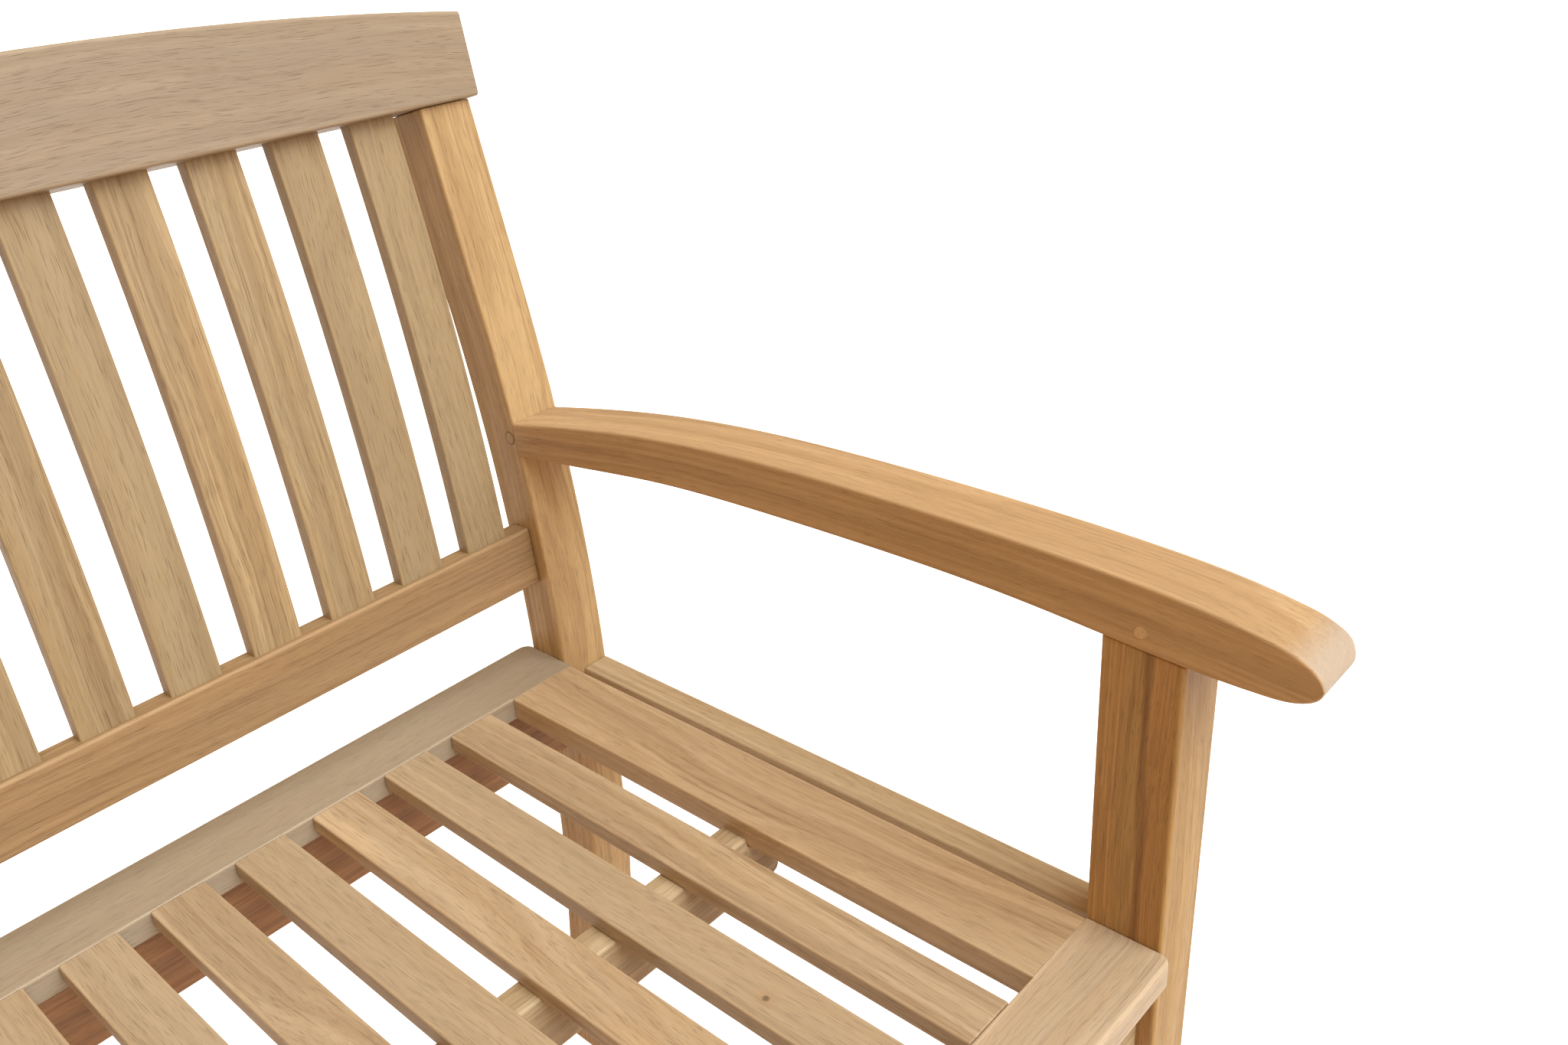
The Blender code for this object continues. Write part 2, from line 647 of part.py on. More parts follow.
    # ------------------------------------------------------------ seat panel
    def seat_rail(self, name, front, width, corner_side):
        """Front or rear board of the seat panel, with its two outer corners rounded in plan."""
        back = front + width
        outer = front if corner_side < 0 else back
        inner = back if corner_side < 0 else front
        centre_y = outer - corner_side * SEAT_CORNER_RADIUS
        corner = []
        for turn in steps_between(0.0, math.pi / 2, 4):
            across = SEAT_HALF - SEAT_CORNER_RADIUS * (1.0 - math.cos(turn))
            corner.append((across, centre_y + corner_side * SEAT_CORNER_RADIUS * math.sin(turn)))
        mirrored = [(-across, y) for across, y in reversed(corner)]
        points = [(SEAT_HALF, inner), *corner, *mirrored, (-SEAT_HALF, inner)]
        mesh = straight_outline(name, points, SEAT_RAIL_THICKNESS, TOP_VIEW)
        rail = self.piece(name, mesh, (0.0, 0.0, SEAT_HEIGHT - SEAT_RAIL_THICKNESS / 2))
        chamfer(rail)
        paint(rail, PALE_HONEY)
        return rail

    def seat_board_pattern(self, name, width, thickness, front_rail_edge, rear_rail_edge):
        """A board across the seat with a tongue at each end, made once for its copies."""
        low = (-width / 2, front_rail_edge + FIT, SEAT_HEIGHT - thickness)
        high = (width / 2, rear_rail_edge - FIT, SEAT_HEIGHT)
        pattern = self.board(name, low, high)
        middle = SEAT_HEIGHT - SEAT_SLAT_THICKNESS / 2
        half = SEAT_TONGUE_THICKNESS / 2
        tongue = self.helper_box(
            name + "_tongue",
            (-width / 2 + TONGUE_INSET, front_rail_edge - SEAT_TONGUE, middle - half),
            (width / 2 - TONGUE_INSET, rear_rail_edge + SEAT_TONGUE, middle + half),
        )
        combine(pattern, tongue, "UNION")
        pattern.parent = None
        mesh_place = pattern.location.copy()
        tongue.parent = None
        return freeze(pattern, (tongue,)), mesh_place

    def cut_tongue_slots(self, rail, inner_edge, direction, boards):
        """One cutter with a slot for each tongue that enters the rail."""
        depth = SEAT_TONGUE + FIT
        ends = sorted((inner_edge - direction * PAST_FACE, inner_edge + direction * depth))
        slot_height = SEAT_TONGUE_THICKNESS + 2 * FIT
        middle = SEAT_HEIGHT - SEAT_SLAT_THICKNESS / 2
        shape = bmesh.new()
        for place, width in boards:
            centre = Vector((place, (ends[0] + ends[1]) / 2, middle))
            size = (width - 2 * TONGUE_INSET + 2 * FIT, ends[1] - ends[0], slot_height)
            block = Matrix.Translation(centre) @ Matrix.Diagonal((*size, 1.0))
            bmesh.ops.create_cube(shape, size=1.0, matrix=block)
        mesh = bpy.data.meshes.new(rail.name + "_slots")
        shape.to_mesh(mesh)
        shape.free()
        cutter = bpy.data.objects.new(mesh.name, mesh)
        self.helpers.objects.link(cutter)
        cutter.parent = self.datum
        combine(rail, cutter, "DIFFERENCE")

    def seat_panel(self):
        front_rail = self.seat_rail("seat_front_rail", SEAT_FRONT, FRONT_RAIL_WIDTH, -1)
        rear_start = SEAT_REAR - REAR_RAIL_WIDTH
        rear_rail = self.seat_rail("seat_rear_rail", rear_start, REAR_RAIL_WIDTH, 1)
        front_edge = SEAT_FRONT + FRONT_RAIL_WIDTH
        slat_mesh, slat_origin = self.seat_board_pattern(
            "seat_slat", SEAT_SLAT_WIDTH, SEAT_SLAT_THICKNESS, front_edge, rear_start
        )
        board_mesh, board_origin = self.seat_board_pattern(
            "seat_side_board", SIDE_BOARD_WIDTH, SEAT_RAIL_THICKNESS, front_edge, rear_start
        )
        boards = [(place, SEAT_SLAT_WIDTH) for place in seat_slat_places()]
        for number, place in enumerate(seat_slat_places(), start=1):
            location = (place, slat_origin.y, slat_origin.z)
            slat = self.piece(f"seat_slat_{number:02d}", slat_mesh.copy(), location)
            paint(slat, PALE_HONEY)
        for side, end in ((1, "right"), (-1, "left")):
            place = side * (SEAT_HALF - SIDE_BOARD_WIDTH / 2)
            boards.append((place, SIDE_BOARD_WIDTH))
            location = (place, board_origin.y, board_origin.z)
            board = self.piece("seat_side_board_" + end, board_mesh.copy(), location)
            paint(board, PALE_HONEY)
        self.cut_tongue_slots(front_rail, front_edge, -1, boards)
        self.cut_tongue_slots(rear_rail, rear_start, 1, boards)

    def batten(self):
        """Batten on edge under the slats, notched to pass under the side boards."""
        half = INNER - BATTEN_INSET
        notch = SEAT_HALF - SIDE_BOARD_WIDTH - FIT
        top = SEAT_HEIGHT - SEAT_SLAT_THICKNESS - FIT
        under_board = SEAT_HEIGHT - SEAT_RAIL_THICKNESS - FIT
        bottom = SEAT_HEIGHT + BATTEN_BOTTOM
        radius = BATTEN_CORNER_RADIUS
        corner = []
        for turn in steps_between(0.0, math.pi / 2, 4):
            across = half - radius * (1.0 - math.cos(turn))
            corner.append((across, bottom + radius * (1.0 - math.sin(turn))))
        right = [(notch, top), (notch, under_board), (half, under_board), *corner]
        left = [(-across, up) for across, up in reversed(right)]
        mesh = straight_outline("seat_batten", [*right, *left], BATTEN_THICKNESS, FRONT_VIEW)
        batten = self.piece("seat_batten", mesh, (0.0, BATTEN_FRONT + BATTEN_THICKNESS / 2, 0.0))
        paint(batten, RED_HONEY)


def build():
    clear_scene()
    bench = Bench()
    front_legs, rear_legs = [], []
    for side, end in ((1, "right"), (-1, "left")):
        front_leg = bench.front_leg(side, end)
        rear_leg = bench.rear_leg(side, end)
        arm = bench.arm(side, end)
        bench.side_apron(side, end, front_leg, rear_leg)
        bench.join_side_frame(side, end, front_leg, rear_leg, arm)
        front_legs.append(front_leg)
        rear_legs.append(rear_leg)
    bench.long_apron("front_apron", FRONT_APRON_SETBACK, front_legs, RED_HONEY)
    bench.long_apron("rear_apron", POST_FRONT + REAR_APRON_SETBACK, rear_legs, DARK_HEART)
    bench.lower_back_rail(rear_legs)
    bench.crest_rail(rear_legs)
    bench.back_slats()
    bench.seat_panel()
    bench.batten()


build()
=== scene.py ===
"""Slatted garden bench in oiled hardwood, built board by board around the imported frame."""

import math
import random
from dataclasses import dataclass

import bmesh
import bpy
from mathutils import Matrix, Vector


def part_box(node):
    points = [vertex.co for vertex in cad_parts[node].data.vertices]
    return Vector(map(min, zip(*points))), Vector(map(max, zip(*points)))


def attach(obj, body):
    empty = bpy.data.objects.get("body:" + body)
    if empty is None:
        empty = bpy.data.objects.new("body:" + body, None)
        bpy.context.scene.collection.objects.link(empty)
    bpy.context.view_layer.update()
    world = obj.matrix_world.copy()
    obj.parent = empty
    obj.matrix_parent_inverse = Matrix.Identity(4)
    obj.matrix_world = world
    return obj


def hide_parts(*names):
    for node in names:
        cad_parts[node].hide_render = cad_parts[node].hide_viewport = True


bl_info = {
    "name": "Garden Bench",
    "version": (1, 0, 0),
    "blender": (4, 5, 0),
    "location": "View3D > Sidebar > Bench",
    "description": "Builds a slatted garden bench board by board",
    "category": "Add Mesh",
}

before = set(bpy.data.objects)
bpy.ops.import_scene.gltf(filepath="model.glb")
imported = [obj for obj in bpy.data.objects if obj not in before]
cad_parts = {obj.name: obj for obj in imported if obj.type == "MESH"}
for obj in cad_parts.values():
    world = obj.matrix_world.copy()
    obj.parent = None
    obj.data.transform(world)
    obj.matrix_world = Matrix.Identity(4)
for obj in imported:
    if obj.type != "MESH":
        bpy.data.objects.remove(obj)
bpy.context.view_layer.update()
BODY = "root"

SIDES = ((1, "right"), (-1, "left"))
ACROSS = Vector((1.0, 0.0, 0.0))
REARWARDS = Vector((0.0, 1.0, 0.0))
UP = Vector((0.0, 0.0, 1.0))
RING_STEPS = 4  # facets in a quarter round
GRAIN = "grain"  # point attribute: along, across and through the board, in metres
BOARD = "board"  # point attribute: one random value for each board
EDGE_HIGHLIGHT = "edge_highlight"  # point attribute: 1 along a rounded edge, where a highlight is painted
END = "end"  # point attribute: 1 where the end grain shows


# ---- values read from the frame
def low(node):
    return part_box(node)[0]


def high(node):
    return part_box(node)[1]


SEAT_TOP = high("seat_front_rail").z
LEG_INNER = low("front_leg_right").x
LEG_OUTER = high("front_leg_right").x
LEG_WIDTH = LEG_OUTER - LEG_INNER
LEG_CENTRE = (LEG_INNER + LEG_OUTER) / 2
FRONT_FACE = low("front_leg_right").y
FIT = 0.0003
SIDE_SKIN = 0.001  # a board's sides, which show no end grain


# ---- sizes and colours
def length(label, text, value):
    return bpy.props.FloatProperty(
        name=label, description=text, default=value, unit="LENGTH", precision=4
    )


def slope(label, text, value):
    return bpy.props.FloatProperty(name=label, description=text, default=value)


def amount(label, text, value):
    return bpy.props.IntProperty(name=label, description=text, default=value, min=2)


def tint(label, text, value):
    return bpy.props.FloatVectorProperty(
        name=label, description=text, default=value, subtype="COLOR", size=3, min=0.0, max=1.0
    )


class BenchSizes(bpy.types.PropertyGroup):
    board_edge: length("Board edge", "Rounding along the edges of rails and aprons", 0.0020)
    slat_edge: length("Slat edge", "Rounding along the edges of a slat", 0.0015)
    leg_edge: length("Leg edge", "Rounding along the edges of a leg", 0.0022)
    arm_edge: length("Arm edge", "Rounding along an arm's inner edges", 0.0018)
    arm_outer_edge: length("Arm outer edge", "Rounding along an arm's outer edges", 0.0032)
    crest_edge: length("Crest edge", "Rounding along the edges of the crest rail", 0.0023)
    seat_edge: length("Seat edge", "Rounding along the edges of the seat's boards", 0.0026)
    end_edge: length("End edge", "Rounding at the end of a board", 0.0008)
    seat_corner: length("Seat corner", "Corner of the seat panel, seen from above", 0.008)
    batten_corner: length("Batten corner", "Lower end corner of the batten", 0.006)
    shoulder_front: length("Shoulder, front", "Top of the front leg at its front face", 0.6053)
    shoulder_rear: length("Shoulder, rear", "Top of the front leg at its rear face", 0.6087)
    post_depth: length("Post depth", "Rear leg above the seat, front to back", 0.0382)
    foot_depth: length("Foot depth", "Rear leg at the floor, front to back", 0.0412)
    post_front: length("Post face", "Rear leg's front face behind the front leg's", 0.4749)
    bow_start: length("Bow start", "Height at which the post starts to bend back", 0.407)
    bow_radius: length("Bow radius", "Radius of the post's bend", 1.251)
    post_lean: slope("Post lean", "Slope of the post's upper end", 0.235)
    splay_start: length("Splay start", "Height at which the foot starts to splay", 0.288)
    splay_radius: length("Splay radius", "Radius of the foot's bend", 0.760)
    foot_splay: slope("Foot splay", "Slope of the foot", 0.12)
    crest_proud: length("Crest proud", "Crest rail's face ahead of the posts", 0.0054)
    crest_bottom: length("Crest bottom", "Front bottom edge of the crest rail", 0.8293)
    crest_height: length("Crest height", "Height of the crest rail along its lean", 0.0714)
    crest_thickness: length("Crest thickness", "Thickness of the crest rail", 0.044)
    crest_shoulder: length("Crest shoulder", "Where the top edge starts to fall", 0.3186)
    crest_radius: length("Crest radius", "Radius of the falling top edge", 2.373)
    crest_flare: length("Crest flare", "How far the ends spread up to the top edge", 0.003)
    rail_height: length("Lower rail height", "Height of the lower back rail", 0.0438)
    rail_thickness: length("Lower rail thickness", "Thickness of the lower back rail", 0.0188)
    rail_front: length("Lower rail front", "Lower rail's bottom edge behind the front legs' face", 0.4905)
    rail_bottom: length("Lower rail bottom", "Height of that edge", 0.4932)
    slat_slope: slope("Slat slope", "Lean of a slat at its foot", 0.075)
    slat_radius: length("Slat radius", "Radius of a back slat's bow", 1.676)
    slat_setback: length("Slat setback", "Slat's face behind the face of the lower rail", 0.0045)
    slat_thickness: length("Slat thickness", "Thickness of a back slat", 0.012)
    slat_width: length("Slat width", "Width of a back slat", 0.0335)
    back_gap: length("First back gap", "Leg to the first back slat", 0.0172)
    back_count: amount("Back slats", "Number of back slats", 20)
    seat_slat_width: length("Seat slat width", "Width of a seat slat", 0.035)
    seat_gap: length("First seat gap", "Side board to the first seat slat", 0.0214)
    seat_count: amount("Seat slats", "Number of seat slats", 18)


class BenchColours(bpy.types.PropertyGroup):
    crest: tint("Crest", "Crest rail", (0.455, 0.325, 0.208))
    slat: tint("Back slats", "Back slats", (0.50, 0.340, 0.175))
    rail: tint("Lower rail", "Lower back rail", (0.45, 0.27, 0.125))
    post: tint("Posts", "Rear legs", (0.53, 0.340, 0.158))
    leg: tint("Front legs", "Front legs", (0.52, 0.305, 0.125))
    arm: tint("Arms", "Arms", (0.55, 0.348, 0.178))
    seat: tint("Seat", "Seat slats and side boards", (0.58, 0.395, 0.225))
    seat_front: tint("Seat front", "Front board of the seat", (0.60, 0.43, 0.27))
    seat_rear: tint("Seat rear", "Rear board of the seat", (0.51, 0.362, 0.225))
    apron: tint("Aprons", "Side aprons and batten", (0.56, 0.40, 0.23))
    # painted shade: the rear apron gets this dark tone for the shade it lies in under the seat
    hidden: tint("Apron shade", "Dark painted shade of the hidden rails", (0.40, 0.20, 0.09))
    pore: tint("Pore", "Open pores", (0.10, 0.060, 0.035))
    end_grain: tint("End grain", "Sanded end grain", (0.46, 0.37, 0.29))
    floor: tint("Floor", "Plain pale floor", (0.90, 0.90, 0.89))


def sizes():
    return bpy.context.scene.bench_sizes


def colours():
    return bpy.context.scene.bench_colours


# ---- node trees as Python expressions
def maths(operation, swapped=False):
    """A method that adds a maths node; swapped when the number stands on the left."""

    def method(sock, other):
        first, second = (other, sock) if swapped else (sock, other)
        settings = {"operation": operation}
        return sock.graph.node("ShaderNodeMath", settings, {0: first, 1: second})[0]

    return method


class Sock:
    """A node's output that takes part in Python arithmetic."""

    def __init__(self, graph, socket):
        self.graph = graph
        self.socket = socket

    __add__ = maths("ADD")
    __radd__ = maths("ADD", swapped=True)
    __sub__ = maths("SUBTRACT")
    __rsub__ = maths("SUBTRACT", swapped=True)
    __mul__ = maths("MULTIPLY")
    __rmul__ = maths("MULTIPLY", swapped=True)
    __pow__ = maths("POWER")

    def stepped(self, start, end):
        """Smooth step from 0 at start to 1 at end."""
        settings = {"interpolation_type": "SMOOTHSTEP"}
        values = {0: self, 1: start, 2: end, 3: 0.0, 4: 1.0}
        return self.graph.node("ShaderNodeMapRange", settings, values)[0]


class Graph:
    """Builds a node tree: any node comes from node(), and its outputs are Socks."""

    def __init__(self, tree):
        self.tree = tree

    def node(self, kind, settings=None, values=None):
        made = self.tree.nodes.new(kind)
        for name, value in (settings or {}).items():
            setattr(made, name, value)
        for key, value in (values or {}).items():
            self.feed(made.inputs[key], value)
        return [Sock(self, output) for output in made.outputs]

    def feed(self, socket, value):
        if isinstance(value, Sock):
            self.tree.links.new(value.socket, socket)
        else:
            socket.default_value = value

    def vector(self, x, y, z):
        return self.node("ShaderNodeCombineXYZ", {}, {0: x, 1: y, 2: z})[0]

    def split(self, vector):
        return self.node("ShaderNodeSeparateXYZ", {}, {0: vector})[:3]

    def scaled(self, vector, factors):
        return self.node("ShaderNodeVectorMath", {"operation": "MULTIPLY"}, {0: vector, 1: factors})[0]

    def moved(self, vector, offset):
        return self.node("ShaderNodeVectorMath", {"operation": "ADD"}, {0: vector, 1: offset})[0]

    def distance(self, vector, point):
        return self.node("ShaderNodeVectorMath", {"operation": "DISTANCE"}, {0: vector, 1: point})[1]

    def mixed(self, factor, first, second, blend="MIX"):
        settings = {"data_type": "RGBA", "blend_type": blend}
        return self.node("ShaderNodeMix", settings, {0: factor, 6: first, 7: second})[2]

    def noise(self, vector, scale, detail=2.0, roughness=0.5):
        values = {"Scale": 1.0, "Detail": detail, "Roughness": roughness}
        values["Vector"] = self.scaled(vector, scale)
        return self.node("ShaderNodeTexNoise", {}, values)[0]

    def noise_of(self, value, detail=2.0, roughness=0.5):
        """Noise along a single value."""
        values = {"W": value, "Scale": 1.0, "Detail": detail, "Roughness": roughness}
        return self.node("ShaderNodeTexNoise", {"noise_dimensions": "1D"}, values)[0]

    def attribute(self, name):
        return self.node("ShaderNodeAttribute", {"attribute_name": name})[2]


def opaque(colour):
    return (*colour, 1.0)


def new_material(name):
    """A material, the graph of its nodes and the inputs of its shader."""
    material = bpy.data.materials.new(name)
    material.use_nodes = True
    return material, Graph(material.node_tree), material.node_tree.nodes["Principled BSDF"].inputs


def link_new(name, data):
    item = bpy.data.objects.new(name, data)
    bpy.context.scene.collection.objects.link(item)
    return item


# ---- wood
def shaded(colour, factors):
    return opaque([value * factor for value, factor in zip(colour, factors)])


# How often the grain changes in a metre: along, across and through the board.
DRIFT_SCALE = (2.0, 5.0, 5.0)
WAVE_SCALE = (13.0, 24.0, 24.0)
BAND_SCALE = (1.6, 80.0, 80.0)
PATCH_SCALE = (3.5, 26.0, 26.0)
LINE_SCALE = (3.0, 360.0, 360.0)
FIBRE_SCALE = (38.0, 900.0, 900.0)
DASH_SCALE = (60.0, 1700.0, 1700.0)
WOBBLE_SCALE = (9.0, 60.0, 60.0)
KNOT_SCALE = (300.0, 300.0, 300.0)
PITH_DEPTH = 0.045
ZONES = 48.0
RINGS = 210.0

# Bands down the front leg: a yellow front skin, also darkened as painted shade for the weaker light on the
# leg's front face; redder wood behind it, and a dark line beside pale wood. Each has its y, its width, its
# strength and its shade.
LEG_STRIPES = (
    (-0.2685, 0.0120, 0.90, (0.84, 0.81, 0.54)),
    (-0.2530, 0.0110, 0.35, (0.90, 0.74, 0.60)),
    (-0.2412, 0.0060, 0.40, (1.02, 1.20, 1.30)),
    (-0.2478, 0.0038, 0.90, (0.60, 0.58, 0.58)),
)

# What each part of the figure does to the wood's own colour, and last a painted highlight on rounded edges.
RING_SHADE = (0.60, 0.52, 0.43)
PATCH_SHADE = (0.68, 0.74, 0.84)
BAND_SHADE = (0.74, 0.69, 0.60)
ZONE_SHADE = (0.46, 0.41, 0.36)
LINE_SHADE = (0.52, 0.44, 0.37)
BOARD_SHADE = (0.57, 0.62, 0.68)
HALO_SHADE = (0.62, 0.52, 0.42)
EDGE_HIGHLIGHT_SHADE = (1.18, 1.20, 1.22)


def wood(name, tone, figure=0.5, streak=0.4, grey=0.3, knots=(), stripes=()):
    """Oiled hardwood whose grain follows the board.

    figure is the strength of the growth rings, streak of the broad dark bands and grey of the
    random grey patches. knots are (place, radius) pairs and stripes are (y, width, strength, shade)
    bands of other wood, both in the bench's own space.
    """
    material, graph, shader = new_material(name)
    grain = graph.node("ShaderNodeAttribute", {"attribute_name": GRAIN})[1]
    board, edge_highlight, end = (graph.attribute(label) for label in (BOARD, EDGE_HIGHLIGHT, END))
    along, across, through = graph.split(grain)

    drift = graph.noise(grain, DRIFT_SCALE) - 0.5
    wave = graph.noise(grain, WAVE_SCALE) - 0.5
    side = across + drift * 0.050 + wave * 0.0040
    deep = through + drift * 0.030 + wave * 0.0020 + PITH_DEPTH
    radius = (side * side + deep * deep) ** 0.5
    bent = graph.vector(along, side, deep)

    zone = graph.noise_of(radius * ZONES + board * 60.0, 2.0, 0.55).stepped(0.50, 0.64)
    ring = graph.noise_of(radius * RINGS + board * 90.0, 2.0, 0.6).stepped(0.42, 0.60)
    band = graph.noise(bent, BAND_SCALE, 3.0, 0.6).stepped(0.42, 0.62)
    patch = graph.noise(grain, PATCH_SCALE, 3.0, 0.55).stepped(0.40, 0.60)
    line = graph.noise(bent, LINE_SCALE, 2.0, 0.65).stepped(0.50, 0.66)
    fibre = graph.noise(bent, FIBRE_SCALE, 3.0, 0.65)
    dash = graph.noise(bent, DASH_SCALE, 1.0).stepped(0.58, 0.70)

    body = graph.mixed(ring * figure, opaque(tone), shaded(tone, RING_SHADE))
    for cover, shade in (
        (patch * grey, PATCH_SHADE),
        (band * 0.55, BAND_SHADE),
        (zone * streak, ZONE_SHADE),
        (line * (zone * 0.8 + 0.9) * figure, LINE_SHADE),
        (board * grey * 1.5, BOARD_SHADE),
    ):
        body = graph.mixed(cover, body, shaded(tone, shade))
    body = graph.mixed(dash * figure * 0.75, body, opaque(colours().pore))
    if stripes:
        body = striped(graph, body, grain, stripes)
    for centre, reach in knots:
        body = knotted(graph, body, grain, tone, centre, reach)
    # painted highlight: every rounded edge is lightened as if it caught the light
    body = graph.mixed(edge_highlight * 0.22, body, shaded(tone, EDGE_HIGHLIGHT_SHADE))
    body = graph.mixed(end * 0.75, body, opaque(colours().end_grain))
    shade = fibre * 0.22 + board * 0.08 + 0.85
    body = graph.mixed(1.0, body, graph.vector(shade, shade, shade), "MULTIPLY")

    roughness = band * 0.06 + fibre * 0.12 + dash * 0.12 + 0.44
    relief = fibre * 0.5 + line * 0.2 - dash * 0.5 + band * 0.1
    bump = graph.node("ShaderNodeBump", {}, {"Strength": 0.35, "Distance": 0.0006, "Height": relief})[0]
    graph.feed(shader["Base Color"], body)
    graph.feed(shader["Roughness"], roughness)
    graph.feed(shader["Normal"], bump)
    shader["Specular IOR Level"].default_value = 0.35
    return material


def striped(graph, body, grain, stripes):
    wobble = (graph.noise(grain, WOBBLE_SCALE) - 0.5) * 0.010
    depth = graph.split(graph.node("ShaderNodeTexCoord")[3])[1] + wobble
    for middle, width, strength, shade in stripes:
        away = ((depth - middle) * (depth - middle)) ** 0.5
        cover = (1.0 - away.stepped(width * 0.3, width)) * strength
        body = graph.mixed(cover, body, opaque(shade), "MULTIPLY")
    return body


def knotted(graph, body, grain, tone, centre, reach):
    ragged = (graph.noise(grain, KNOT_SCALE) - 0.5) * 0.7 + 1.0
    away = graph.distance(graph.node("ShaderNodeTexCoord")[3], centre) * ragged
    halo = 1.0 - away.stepped(reach * 0.8, reach * 3.5)
    core = 1.0 - away.stepped(reach * 0.3, reach)
    body = graph.mixed(halo * 0.35, body, shaded(tone, HALO_SHADE))
    return graph.mixed(core * 0.75, body, opaque(colours().pore))


def peg_wood(name, radius, tone, outline):
    """End grain of a dowel, with a darker line around it."""
    material, graph, shader = new_material(name)
    grain = graph.node("ShaderNodeAttribute", {"attribute_name": GRAIN})[1]
    _, across, through = graph.split(grain)
    reach = (across * across + through * through) ** 0.5
    rim = reach.stepped(radius * (0.95 - outline * 0.3), radius * 0.96)
    speckle = graph.noise(grain, (300.0, 900.0, 300.0), 3.0, 0.6)
    pale, dark = shaded(tone, (1.15, 1.2, 1.25)), shaded(tone, (0.85, 0.82, 0.8))
    body = graph.mixed(speckle.stepped(0.35, 0.65) * 0.6, pale, dark)
    body = graph.mixed(rim * outline, body, shaded(tone, (0.35, 0.30, 0.25)))
    bump = graph.node("ShaderNodeBump", {}, {"Strength": 0.2, "Distance": 0.0004, "Height": speckle})[0]
    graph.feed(shader["Base Color"], body)
    graph.feed(shader["Roughness"], speckle * 0.2 + 0.5)
    graph.feed(shader["Normal"], bump)
    return material


# ---- boards as lofted meshes
@dataclass
class Row:
    """One cross-section of a board: half_a is measured across it and half_b through it."""

    centre: Vector
    across: Vector
    through: Vector
    half_a: float
    half_b: float
    distance: float
    end: float = 0.0
    corners: tuple = None


def ring_points(half_a, half_b, corners):
    """(across, through, painted edge highlight) around a rounded rectangle, supported beside each corner.

    The corners are at (+, +), (-, +), (-, -) and (+, -).
    """
    limit = min(half_a, half_b) * 0.96
    radii = [min(corner, limit) for corner in corners]
    flats = [
        2 * half_b - radii[3] - radii[0],
        2 * half_a - radii[0] - radii[1],
        2 * half_b - radii[1] - radii[2],
        2 * half_a - radii[2] - radii[3],
    ]
    points = []
    for turn, (side_a, side_b) in enumerate(((1, 1), (-1, 1), (-1, -1), (1, -1))):
        radius = radii[turn]
        centre = Vector((side_a * (half_a - radius), side_b * (half_b - radius)))
        start = turn * math.pi / 2
        gaps = [min(radius * 0.4, flats[side % 4] * 0.4) for side in (turn, turn + 1)]
        before = Vector((math.sin(start), -math.cos(start))) * gaps[0]
        after = Vector((-math.cos(start), -math.sin(start))) * gaps[1]
        arc = []
        for step in range(RING_STEPS + 1):
            angle = start + step * math.pi / 2 / RING_STEPS
            point = centre + radius * Vector((math.cos(angle), math.sin(angle)))
            arc.append((*point, math.sin(math.pi * (step + 1) / (RING_STEPS + 2))))
        first, last = Vector(arc[0][:2]), Vector(arc[-1][:2])
        points += [(*(first + before), 0.0), *arc, (*(last + after), 0.0)]
    return points


def corner_cut(radius, distance):
    """How far a rounded corner cuts in, at a distance from the end."""
    short = max(0.0, radius - distance)
    return radius - math.sqrt(max(0.0, radius**2 - short**2))


def both_sides(kind, seed):
    """Name, seed, side and box of the right piece and of the left one."""
    for number, (side, end) in enumerate(SIDES):
        yield kind + end, seed + number, side, *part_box(kind + end)


def easing(distance):
    """1 at a leg's top, where its rows lie along the cut, and 0 from 50 mm below it."""
    return max(0.0, 1.0 - distance / 0.05)


def side_corners(side, outer, inner):
    """Corner radii of a board at one side of the bench, in the order of ring_points."""
    return (outer, inner, inner, outer) if side > 0 else (inner, outer, outer, inner)


def end_profile(radius):
    """(distance from the end, inset) pairs of a rounded end, from the cap outwards."""
    pairs = []
    for step in range(RING_STEPS + 1):
        angle = step * math.pi / 2 / RING_STEPS
        pairs.append((radius * (1 - math.cos(angle)), radius * (1 - math.sin(angle))))
    return pairs


def stations(total, end_radius, spacing, extra=()):
    """Distances along a board and the inset at each, dense where the ends are rounded."""
    near = end_profile(end_radius) + [(end_radius * 1.5, 0.0)]
    first = end_radius * 1.5
    count = max(2, round((total - 2 * first) / spacing))
    middle = [first + (total - 2 * first) * step / count for step in range(1, count)]
    middle = sorted(set(middle) | {place for place in extra if first < place < total - first})
    far = [(total - distance, inset) for distance, inset in reversed(near)]
    return near + [(distance, 0.0) for distance in middle] + far


